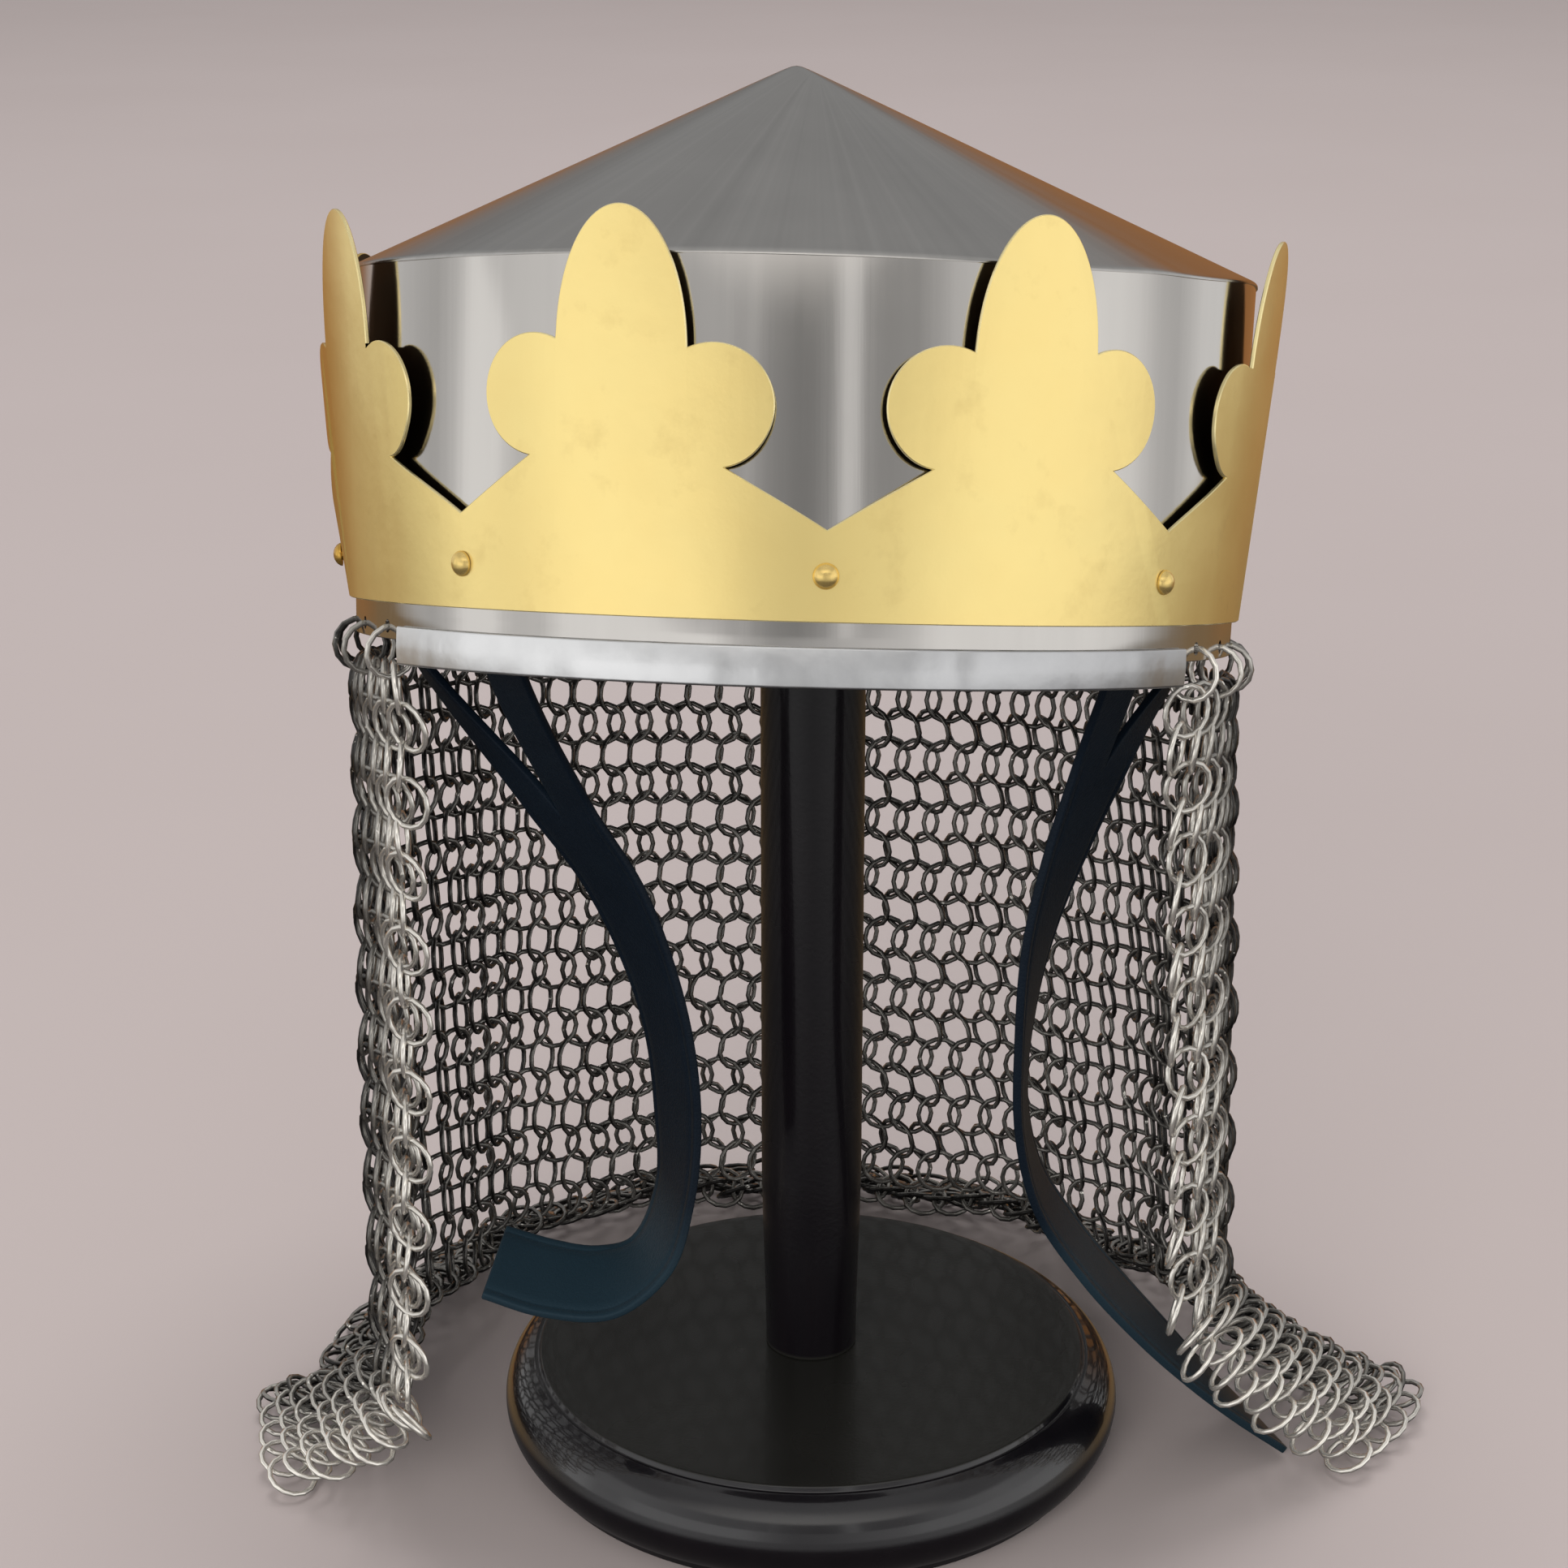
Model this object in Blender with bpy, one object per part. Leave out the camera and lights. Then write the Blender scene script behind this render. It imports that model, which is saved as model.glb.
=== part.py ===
# Crowned steel helmet with a mail curtain and leather straps, on a turned stand.
# Metres, +Z up. The origin is the centre of the stand's underside, and the face opening looks along -Y.
# Angles run round the rim from the brow, positive towards +X.
import math

import bmesh
import bpy
from mathutils import Matrix, Vector

# Stand
BASE_DISC_RADIUS = 0.0716
BASE_BEAD_RADIUS = 0.0795
BASE_FOOT_RADIUS = 0.073
BASE_HEIGHT = 0.0255
BASE_GROOVE_WIDTH = 0.0014
BASE_GROOVE_DEPTH = 0.0018
BEAD_MIDDLE_RADIUS = 0.066
BEAD_FROM = 62.0
BEAD_TO = -58.0
POST_RADIUS = 0.0127
POST_FOOT_RADIUS = 0.0116
POST_TAPER_HEIGHT = 0.05
TENON_RADIUS = 0.008
TENON_LENGTH = 0.014

# Where the helmet sits on the post
RIM_HEIGHT = 0.2099
RIM_SHIFT = -0.005
TILT_BACK = math.radians(14.8)
LEAN = math.radians(1.4)

# Steel skull: an oval band and a low pointed top
SKULL_HALF_WIDTH = 0.1035
SKULL_HALF_DEPTH = 0.114
SKULL_TOP_SPREAD = 0.0031
SKULL_TOP_DRAW_IN = 0.002
SKULL_TOP = 0.0914
BAND_EDGE = 0.0055
CONE_RISE = 0.0495
CONE_LIP = 0.005
CONE_POINT_RADIUS = 0.006
CONE_POINT_BLUNTING = 0.35
STEEL_WALL = 0.0012

# Folded strip along the brow
BROW_STRIP_TOP = 0.0085
BROW_STRIP_WALL = 0.001
BROW_STRIP_FROM = -55.5
BROW_STRIP_TO = 55.5

# Brass crown: heights above the rim, half widths along the band
CROWN_WALL = 0.001
CROWN_EDGE = 0.0135
CROWN_FLARE = 0.084
CROWN_TURN = 3.8
CROWN_POINTS = 8
NOTCH_BOTTOM = 0.034
SHOULDER_HALF_WIDTH = 0.022
LOBE_RADIUS = 0.0129
LOBE_CENTRE_OUT = 0.0201
LOBE_CENTRE_UP = 0.0591
TIP_HALF_WIDTH = 0.0145
TIP_CENTRE_UP = 0.0672
TIP_HEIGHT = 0.0305

# Brass rivets
RIVET_HEIGHT = 0.023
RIVET_HEAD_RADIUS = 0.00275
RIVET_HEAD_HEIGHT = 0.0018
RIVET_SHANK_RADIUS = 0.0013
RIVET_TAIL_RADIUS = 0.0024
RIVET_TAIL_HEIGHT = 0.0008
STRAP_RIVETS = (1, 2, 6, 7)

# Rings that hang the mail from holes in the band's edge
HANGER_COUNT = 28
HANGER_RADIUS = 0.0059
RING_WIRE_RADIUS = 0.0007
HANGER_HOLE_UP = 0.008
HANGER_HOLE_RADIUS = 0.0014
HANGER_PLAY = 0.0006

# Mail curtain, an open net with the mail's outer form
CURTAIN_FROM = 55.0
CURTAIN_TO = 305.0
CURTAIN_CELLS = 14
CURTAIN_ROWS = 7
CURTAIN_WALL = 0.003
CURTAIN_BAR = 0.004
CURTAIN_ZIGZAG = 0.004
RIPPLE_DEPTH = 0.002
RIPPLE_COUNT = 13
HEM_HEIGHT = 0.0022
HEM_RISE = 0.06
HEM_REACH = 0.08
HEM_LEAN = 0.01
HEM_CURVE = 1.25
# How the lower mail splays, round the rim from the right front edge to the left one: angle,
# fold height as a share of HEM_RISE, lean as a share of HEM_LEAN, reach as a share of HEM_REACH,
# and the heading of the lean and the splay
HEM_TABLE = (
    (55.0, 1.00, 1.0, 0.80, 125.0),
    (72.0, 0.95, 0.8, 0.86, 122.0),
    (95.0, 0.60, 0.5, 0.42, 112.0),
    (130.0, 0.30, 0.1, 0.35, 138.0),
    (180.0, 0.22, 0.0, 0.38, 180.0),
    (232.0, 0.30, 0.0, 0.34, 228.0),
    (268.0, 0.38, 0.0, 0.32, 250.0),
    (288.0, 0.50, 0.3, 0.60, 230.0),
    (305.0, 0.58, 0.9, 0.55, 238.0),
)

# Leather straps: a fork of two arms under the rivets and one free end
STRAP_WIDTH = 0.024
ARM_WIDTH = STRAP_WIDTH / 2
STRAP_WALL = 0.002
STRAP_END_MARGIN = 0.007
STRAP_TABLE_LIFT = 0.0014
# Middle of each strap from its fork to its free end: across as a share of SKULL_HALF_WIDTH,
# back as a share of SKULL_HALF_DEPTH, up as a share of RIM_HEIGHT, and the heading and dip
# of the strap's width, in degrees
LEFT_STRAP_TABLE = (
    (-0.557, -0.307, 0.873, -38.0, 0.0),
    (-0.455, -0.275, 0.785, -44.0, 0.0),
    (-0.380, -0.263, 0.690, -52.0, 0.0),
    (-0.330, -0.263, 0.590, -58.0, 0.0),
    (-0.313, -0.270, 0.490, -62.0, 0.0),
    (-0.322, -0.300, 0.400, -72.0, 6.0),
    (-0.375, -0.350, 0.338, -86.0, 14.0),
    (-0.480, -0.390, 0.315, -94.0, 18.0),
    (-0.610, -0.400, 0.322, -98.0, 18.0),
    (-0.740, -0.390, 0.340, -100.0, 16.0),
)
RIGHT_STRAP_TABLE = (
    (0.640, -0.370, 0.945, -130.0, 0.0),
    (0.575, -0.350, 0.845, -122.0, 0.0),
    (0.520, -0.350, 0.745, -112.0, 0.0),
    (0.492, -0.350, 0.640, -102.0, 0.0),
    (0.488, -0.350, 0.520, -96.0, 0.0),
    (0.530, -0.345, 0.430, -95.0, 0.0),
    (0.637, -0.320, 0.340, -95.0, 0.0),
    (0.765, -0.262, 0.250, -93.0, 0.0),
    (0.890, -0.185, 0.166, -88.0, 0.0),
    (1.010, -0.105, 0.088, -80.0, 0.0),
    (1.135, -0.035, 0.016, -70.0, 0.0),
)

# Fits and facets
FIT_GAP = 0.0003
CROWN_GAP = 0.0005
OVAL_COLUMNS = 48
CIRCLE_SEGMENTS = 32
POST_SEGMENTS = 18
POST_TOP_STEPS = 5
BEAD_STEPS = 7
DOME_STEPS = 2
HEM_STEPS = 12
RING_SIDES = 10
WIRE_SIDES = 5
RIVET_SIDES = 8
HOLE_SIDES = 6
LOBE_STEPS = 6
TIP_STEPS = 5
STRAP_STEPS = 2
ARM_STEPS = 5
SEAT_ROUNDS = 20
SMOOTH_ANGLE = 30.0
RING_SMOOTH_ANGLE = 80.0

COLUMN_ANGLE = 360.0 / OVAL_COLUMNS
CROWN_STEP = 360.0 / CROWN_POINTS
MEAN_RADIUS = (SKULL_HALF_WIDTH + SKULL_HALF_DEPTH) / 2
CONE_SEAT = SKULL_TOP + FIT_GAP
# How far a flat face must stand off where the oval's facets meet, per metre across
FACET_RISE = math.sin(math.radians(COLUMN_ANGLE / 2))
ARM_INSET = FIT_GAP + ARM_WIDTH / 2 * FACET_RISE
TAIL_GAP = FIT_GAP + RIVET_TAIL_RADIUS * (CROWN_FLARE + FACET_RISE)


def material(name, colour, metallic, roughness):
    """A plain Principled material."""
    made = bpy.data.materials.new(name)
    made.use_nodes = True
    shader = made.node_tree.nodes["Principled BSDF"]
    shader.inputs["Base Color"].default_value = (*colour, 1.0)
    shader.inputs["Metallic"].default_value = metallic
    shader.inputs["Roughness"].default_value = roughness
    return made


def add_part(name, mesh_data, finish, parent=None, smooth_angle=SMOOTH_ANGLE):
    """An object made of a bmesh, shaded smooth up to the given angle."""
    bmesh.ops.recalc_face_normals(mesh_data, faces=mesh_data.faces)
    mesh = bpy.data.meshes.new(name)
    mesh_data.to_mesh(mesh)
    mesh_data.free()
    mesh.shade_smooth()
    mesh.set_sharp_from_angle(angle=math.radians(smooth_angle))
    mesh.materials.append(finish)
    part = bpy.data.objects.new(name, mesh)
    part.parent = parent
    bpy.context.collection.objects.link(part)
    return part


def add_modifier(part, kind, **settings):
    """A named modifier with its settings."""
    modifier = part.modifiers.new(kind.title(), kind)
    for key, value in settings.items():
        setattr(modifier, key, value)


def turned(profile, segments):
    """A solid turned about Z from (radius, height) pairs; a radius of 0 closes a pole."""
    shape = bmesh.new()
    rings = []
    for radius, height in profile:
        if radius == 0.0:
            rings.append([shape.verts.new((0.0, 0.0, height))])
            continue
        ring = []
        for step in range(segments):
            angle = math.tau * step / segments
            ring.append(shape.verts.new((radius * math.cos(angle), radius * math.sin(angle), height)))
        rings.append(ring)
    for above, below in zip(rings, rings[1:]):
        for step in range(segments):
            following = (step + 1) % segments
            corners = [above[step % len(above)], below[step % len(below)],
                       below[following % len(below)], above[following % len(above)]]
            shape.faces.new(list(dict.fromkeys(corners)))
    return shape


def arc(centre, radii, from_angle, to_angle, steps):
    """Points along an elliptic arc, both ends included; angles in degrees."""
    points = []
    for step in range(steps + 1):
        angle = math.radians(from_angle + (to_angle - from_angle) * step / steps)
        points.append((centre[0] + radii[0] * math.cos(angle), centre[1] + radii[1] * math.sin(angle)))
    return points


def skull_radii(height):
    """Half width and half depth of the band's outer face at a height above the rim."""
    share = height / SKULL_TOP
    return SKULL_HALF_WIDTH + SKULL_TOP_SPREAD * share, SKULL_HALF_DEPTH - SKULL_TOP_DRAW_IN * share


def oval_point(angle, height, outset, radii=None):
    """A point of the flat-faceted oval, at an outset from the band's outer face."""
    half_width, half_depth = radii or skull_radii(height)
    position = (angle - CROWN_TURN) / COLUMN_ANGLE
    column = math.floor(position)
    corners = []
    for step in (column, column + 1):
        turn = math.radians(CROWN_TURN + step * COLUMN_ANGLE)
        corners.append(Vector(((half_width + outset) * math.sin(turn),
                               -(half_depth + outset) * math.cos(turn), height)))
    return corners[0].lerp(corners[1], position - column)


def oval_normal(angle):
    """The outward direction of the oval at an angle, level with the rim."""
    turn = math.radians(angle)
    return Vector((math.sin(turn) / SKULL_HALF_WIDTH, -math.cos(turn) / SKULL_HALF_DEPTH, 0.0)).normalized()


def column_angles():
    """Where the oval's facets meet, once round."""
    return [CROWN_TURN + column * COLUMN_ANGLE for column in range(OVAL_COLUMNS)]


def skin(shape, sections, loop):
    """Faces between neighbouring closed sections; a loop joins the last section to the first."""
    neighbours = list(zip(sections, sections[1:]))
    if loop:
        neighbours.append((sections[-1], sections[0]))
    for section, following in neighbours:
        for step, vert in enumerate(section):
            after = (step + 1) % len(section)
            shape.faces.new((vert, section[after], following[after], following[step]))


def rod(start, direction, length, radius, sides):
    """A plain closed rod, the shape that cuts a hole."""
    shape = turned(((0.0, length), (radius, length), (radius, 0.0), (0.0, 0.0)), sides)
    along = direction.to_track_quat("Z", "Y").to_matrix().to_4x4()
    bmesh.ops.transform(shape, matrix=Matrix.Translation(start) @ along, verts=shape.verts)
    return shape


def cut_holes(part, name, rods, parent):
    """Cuts a set of rods out of a part."""
    joined = bmesh.new()
    for shape in rods:
        mesh = bpy.data.meshes.new(name)
        shape.to_mesh(mesh)
        shape.free()
        joined.from_mesh(mesh)
        bpy.data.meshes.remove(mesh)
    cutter = add_part(name, joined, part.data.materials[0], parent)
    cutter.hide_render = True
    cutter.display_type = "WIRE"
    add_modifier(part, "BOOLEAN", operation="DIFFERENCE", object=cutter, solver="EXACT")


def helmet_matrix():
    """Where the helmet sits: tilted back and leaning a little on its post."""
    turn = Matrix.Rotation(LEAN, 4, "Y") @ Matrix.Rotation(-TILT_BACK, 4, "X")
    return Matrix.Translation((RIM_SHIFT, 0.0, RIM_HEIGHT)) @ turn


# Stand

def make_base(finish):
    """Turned base: a flat disc, a thin groove and a half-round bead."""
    bead_radii = (BASE_BEAD_RADIUS - BEAD_MIDDLE_RADIUS, BASE_HEIGHT / 2)
    bead = arc((BEAD_MIDDLE_RADIUS, BASE_HEIGHT / 2), bead_radii, BEAD_FROM, BEAD_TO, BEAD_STEPS)
    groove_middle = BASE_DISC_RADIUS - BASE_GROOVE_WIDTH / 2
    socket_radius = TENON_RADIUS + FIT_GAP
    socket_floor = BASE_HEIGHT - TENON_LENGTH - FIT_GAP
    profile = [(0.0, socket_floor), (socket_radius, socket_floor), (socket_radius, BASE_HEIGHT),
               (BASE_DISC_RADIUS - BASE_GROOVE_WIDTH, BASE_HEIGHT),
               (groove_middle, BASE_HEIGHT - BASE_GROOVE_DEPTH)]
    profile += bead
    profile += [(BASE_FOOT_RADIUS, 0.0), (0.0, 0.0)]
    add_part("stand_base", turned(profile, CIRCLE_SEGMENTS), finish)


def post_top_centre():
    """Height of the middle of the post's round top, which carries the cone from inside."""
    half_width, half_depth = skull_radii(SKULL_TOP)
    to_helmet = helmet_matrix().inverted()
    height = RIM_HEIGHT + SKULL_TOP
    for _ in range(SEAT_ROUNDS):
        local = to_helmet @ Vector((0.0, 0.0, height))
        across = math.hypot(local.x / half_width, local.y / half_depth)
        slope = CONE_RISE * math.hypot(local.x / half_width ** 2, local.y / half_depth ** 2) / across
        wall = STEEL_WALL * math.sqrt(1.0 + slope ** 2)
        clear = CONE_SEAT + CONE_RISE * (1.0 - across) - wall - local.z
        height += clear / math.sqrt(1.0 + slope ** 2) - POST_RADIUS - FIT_GAP
    return height


def make_post(finish):
    """Straight post with a slightly slimmer foot, a tenon and a round top."""
    centre = post_top_centre()
    foot = BASE_HEIGHT + FIT_GAP
    profile = arc((0.0, centre), (POST_RADIUS, POST_RADIUS), 90.0, 0.0, POST_TOP_STEPS)
    profile[0] = (0.0, centre + POST_RADIUS)
    profile += [(POST_RADIUS, BASE_HEIGHT + POST_TAPER_HEIGHT), (POST_FOOT_RADIUS, foot),
                (TENON_RADIUS, foot), (TENON_RADIUS, BASE_HEIGHT - TENON_LENGTH),
                (0.0, BASE_HEIGHT - TENON_LENGTH)]
    add_part("stand_post", turned(profile, POST_SEGMENTS), finish)


# Steel

def hanger_angles():
    """Where the mail's rings pass through the band's edge."""
    pitch = (CURTAIN_TO - CURTAIN_FROM) / HANGER_COUNT
    return [CURTAIN_FROM + pitch * (step + 0.5) for step in range(HANGER_COUNT)]


def rivet_angle(index):
    """The angle of a rivet, under a notch of the crown."""
    return CROWN_TURN + CROWN_STEP * index


def crown_outset(height):
    """How far the crown's inner face stands out from the band's outer face."""
    return CROWN_GAP + CROWN_FLARE * (height - CROWN_EDGE)


def rivet_seat(index):
    """Where a rivet meets the crown's outer face, and its axis out of the crown."""
    angle = rivet_angle(index)
    outset = crown_outset(RIVET_HEIGHT) + CROWN_WALL
    axis = (oval_normal(angle) - Vector((0.0, 0.0, CROWN_FLARE))).normalized()
    return oval_point(angle, RIVET_HEIGHT, outset), axis


def rivet_rods(indices):
    """Rods that clear the shanks of the named rivets, from outside the crown to inside the band."""
    reach = CROWN_WALL + crown_outset(RIVET_HEIGHT) + STEEL_WALL + STRAP_WALL + RIVET_HEAD_RADIUS
    rods = []
    for index in indices:
        seat, axis = rivet_seat(index)
        start = seat + axis * RIVET_HEAD_RADIUS
        rods.append(rod(start, -axis, reach + RIVET_HEAD_RADIUS, RIVET_SHANK_RADIUS + FIT_GAP, HOLE_SIDES))
    return rods


def make_skull_band(finish, helmet):
    """Oval steel band with its rivet holes and the holes along its lower edge."""
    profile = ((0.0, BAND_EDGE), (0.0, SKULL_TOP), (-STEEL_WALL, SKULL_TOP), (-STEEL_WALL, BAND_EDGE))
    shape = bmesh.new()
    sections = [[shape.verts.new(oval_point(angle, height, outset)) for outset, height in profile]
                for angle in column_angles()]
    skin(shape, sections, loop=True)
    band = add_part("skull_band", shape, finish, helmet)
    rods = rivet_rods(range(CROWN_POINTS))
    for angle in hanger_angles():
        outward = oval_normal(angle)
        middle = oval_point(angle, HANGER_HOLE_UP, -STEEL_WALL / 2)
        rods.append(rod(middle - outward * STEEL_WALL * 2, outward, STEEL_WALL * 4,
                        HANGER_HOLE_RADIUS, HOLE_SIDES))
    cut_holes(band, "band_hole_cutter", rods, helmet)


def make_skull_cone(finish, helmet):
    """Low pointed top with a turned-down lip that sits inside the band."""
    radii = skull_radii(SKULL_TOP)
    mean = (radii[0] + radii[1]) / 2
    drop = STEEL_WALL * math.hypot(1.0, CONE_RISE / mean)
    lip = -STEEL_WALL - FIT_GAP
    shape = bmesh.new()
    tip_share = CONE_POINT_RADIUS / mean
    tip_drop = CONE_RISE * tip_share * CONE_POINT_BLUNTING

    def ring(share, height, outset=0.0):
        scaled = (radii[0] * share, radii[1] * share)
        return [shape.verts.new(oval_point(angle, height, outset, scaled)) for angle in column_angles()]

    lip_bottom = SKULL_TOP - CONE_LIP
    inner_share = 1.0 + (lip - STEEL_WALL) / mean
    rings = [ring(tip_share, CONE_SEAT + CONE_RISE * (1.0 - tip_share)),
             ring(1.0, CONE_SEAT),
             ring(1.0, CONE_SEAT, lip),
             ring(1.0, lip_bottom, lip),
             ring(1.0, lip_bottom, lip - STEEL_WALL),
             ring(1.0, CONE_SEAT + CONE_RISE * (1.0 - inner_share) - drop, lip - STEEL_WALL),
             ring(tip_share, CONE_SEAT + CONE_RISE * (1.0 - tip_share) - drop)]
    skin(shape, rings, loop=False)
    peak = CONE_SEAT + CONE_RISE - tip_drop
    for edge, height in ((rings[0], peak), (rings[-1], peak - drop)):
        pole = shape.verts.new((0.0, 0.0, height))
        for column in range(OVAL_COLUMNS):
            shape.faces.new((pole, edge[column], edge[(column + 1) % OVAL_COLUMNS]))
    add_part("skull_cone", shape, finish, helmet)


def make_brow_strip(finish, helmet):
    """Folded strip that grips the band's edge across the brow."""
    outer = FIT_GAP + BROW_STRIP_WALL
    inner = -STEEL_WALL - outer
    profile = ((FIT_GAP, BROW_STRIP_TOP), (outer, BROW_STRIP_TOP), (outer, 0.0), (inner, 0.0),
               (inner, BROW_STRIP_TOP), (inner + BROW_STRIP_WALL, BROW_STRIP_TOP),
               (inner + BROW_STRIP_WALL, BROW_STRIP_WALL), (FIT_GAP, BROW_STRIP_WALL))
    first = math.ceil((BROW_STRIP_FROM - CROWN_TURN) / COLUMN_ANGLE)
    last = math.floor((BROW_STRIP_TO - CROWN_TURN) / COLUMN_ANGLE)
    angles = [BROW_STRIP_FROM]
    angles += [CROWN_TURN + column * COLUMN_ANGLE for column in range(first, last + 1)]
    angles += [BROW_STRIP_TO]
    shape = bmesh.new()
    sections = [[shape.verts.new(oval_point(angle, height, outset)) for outset, height in profile]
                for angle in angles]
    skin(shape, sections, loop=False)
    shape.faces.new(sections[0])
    shape.faces.new(list(reversed(sections[-1])))
    add_part("brow_strip", shape, finish, helmet)


# Brass

def crown_half_outline():
    """Half of one crown point, as (distance from its middle, height), from the notch to the tip."""
    half_pitch = math.radians(CROWN_STEP / 2) * MEAN_RADIUS
    lobe_centre = (LOBE_CENTRE_OUT, LOBE_CENTRE_UP)
    lobe_start = -math.degrees(math.acos((SHOULDER_HALF_WIDTH - LOBE_CENTRE_OUT) / LOBE_RADIUS))
    lobe_end = math.degrees(math.acos((TIP_HALF_WIDTH - LOBE_CENTRE_OUT) / LOBE_RADIUS))
    lobe = arc(lobe_centre, (LOBE_RADIUS, LOBE_RADIUS), lobe_start, lobe_end, LOBE_STEPS)
    rise = (lobe[-1][1] - TIP_CENTRE_UP) / TIP_HEIGHT
    tip = arc((0.0, TIP_CENTRE_UP), (TIP_HALF_WIDTH, TIP_HEIGHT), math.degrees(math.asin(rise)), 90.0,
              TIP_STEPS)
    return [(half_pitch, NOTCH_BOTTOM)] + lobe + tip[1:]


def make_crown_band(finish, helmet):
    """Flared brass band cut to trefoil points."""
    shape = bmesh.new()
    half = crown_half_outline()
    for point in range(CROWN_POINTS):
        for side in (-1, 1):
            outline = [(side * out / MEAN_RADIUS, height) for out, height in half]
            outline[-1] = (0.0, half[-1][1])
            outline += [(0.0, CROWN_EDGE), (outline[0][0], CROWN_EDGE)]
            middle = math.radians(CROWN_STEP * (point + 0.5))
            corners = [shape.verts.new((middle + angle, height, 0.0)) for angle, height in outline]
            shape.faces.new(corners if side > 0 else list(reversed(corners)))
    bmesh.ops.remove_doubles(shape, verts=shape.verts, dist=1e-6)
    for column in range(OVAL_COLUMNS):
        cut = math.radians(column * COLUMN_ANGLE)
        everything = shape.verts[:] + shape.edges[:] + shape.faces[:]
        bmesh.ops.bisect_plane(shape, geom=everything, plane_co=(cut, 0.0, 0.0), plane_no=(1.0, 0.0, 0.0),
                               dist=1e-6)
    inner = shape.faces[:]
    made = bmesh.ops.extrude_face_region(shape, geom=inner, use_keep_orig=True)
    for item in made["geom"]:
        if isinstance(item, bmesh.types.BMVert):
            item.co.z = CROWN_WALL
    for vert in shape.verts:
        angle, height, wall = vert.co
        vert.co = oval_point(CROWN_TURN + math.degrees(angle), height, crown_outset(height) + wall)
    bmesh.ops.remove_doubles(shape, verts=shape.verts, dist=1e-6)
    seam = [face for face in shape.faces if all(len(edge.link_faces) > 2 for edge in face.edges)]
    bmesh.ops.delete(shape, geom=seam, context="FACES_ONLY")
    crown = add_part("crown_band", shape, finish, helmet)
    cut_holes(crown, "crown_hole_cutter", rivet_rods(range(CROWN_POINTS)), helmet)


def make_rivets(finish, helmet):
    """Domed rivets under the notches; four of them also carry the straps."""
    for index in range(CROWN_POINTS):
        seat, axis = rivet_seat(index)
        grip = CROWN_WALL + crown_outset(RIVET_HEIGHT) + STEEL_WALL + TAIL_GAP
        if index in STRAP_RIVETS:
            grip += ARM_INSET + STRAP_WALL
        dome = arc((0.0, FIT_GAP), (RIVET_HEAD_RADIUS, RIVET_HEAD_HEIGHT), 90.0, 0.0, DOME_STEPS)
        dome[0] = (0.0, FIT_GAP + RIVET_HEAD_HEIGHT)
        profile = dome + [(RIVET_SHANK_RADIUS, FIT_GAP), (RIVET_SHANK_RADIUS, -grip),
                          (RIVET_TAIL_RADIUS, -grip), (RIVET_TAIL_RADIUS, -grip - RIVET_TAIL_HEIGHT),
                          (0.0, -grip - RIVET_TAIL_HEIGHT)]
        rivet = add_part(f"crown_rivet_{index + 1}", turned(profile, RIVET_SIDES), finish, helmet)
        rivet.location = seat
        rivet.rotation_mode = "QUATERNION"
        rivet.rotation_quaternion = axis.to_track_quat("Z", "Y")


# Mail

def hem_row(angle):
    """The splay's fold height, lean, reach and heading at an angle, eased between the table's rows."""
    for before, after in zip(HEM_TABLE, HEM_TABLE[1:]):
        if angle <= after[0]:
            break
    share = min(max((angle - before[0]) / (after[0] - before[0]), 0.0), 1.0)
    eased = share * share * (3.0 - 2.0 * share)
    rise, lean, reach, heading = (a + (b - a) * eased for a, b in zip(before[1:], after[1:]))
    return rise * HEM_RISE, lean * HEM_LEAN, reach * HEM_REACH, math.radians(heading)


def hole_centre(angle):
    """The middle of the band's wall at a hanger hole, in the world."""
    return helmet_matrix() @ oval_point(angle, HANGER_HOLE_UP, -STEEL_WALL / 2)


def level_outward(angle):
    """The outward direction at an angle, level with the table."""
    outward = helmet_matrix().to_3x3() @ oval_normal(angle)
    return Vector((outward.x, outward.y, 0.0)).normalized()


def curtain_hang():
    """How far the curtain's top edge hangs under the holes, inside the rings' lower curve."""
    inside = (HANGER_RADIUS - RING_WIRE_RADIUS) * math.cos(math.pi / RING_SIDES) - HANGER_PLAY
    lowest = math.sqrt(inside ** 2 - (CURTAIN_WALL / 2) ** 2)
    return HANGER_RADIUS + lowest - CURTAIN_BAR / 2


def curtain_point(angle, share):
    """A point of the curtain's middle surface, at a share of its length from the top."""
    top = hole_centre(angle) - Vector((0.0, 0.0, curtain_hang()))
    rise, lean, reach, heading = hem_row(angle)
    outward = level_outward(angle)
    away = Vector((math.sin(heading), -math.cos(heading), 0.0))
    fold = Vector((top.x, top.y, rise)) + away * lean
    splay = away * reach
    path = [top, fold]
    for step in range(1, HEM_STEPS + 1):
        part = step / HEM_STEPS
        path.append(fold + splay * part ** HEM_CURVE + Vector((0.0, 0.0, (HEM_HEIGHT - rise) * part)))
    lengths = [(after - before).length for before, after in zip(path, path[1:])]
    left = share * sum(lengths)
    for start, end, length in zip(path, path[1:], lengths):
        if left <= length or end is path[-1]:
            break
        left -= length
    point = start.lerp(end, left / length)
    wave = math.sin(math.tau * RIPPLE_COUNT * angle / 360.0) * math.sin(math.pi * share)
    return point + outward * RIPPLE_DEPTH * wave


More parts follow.
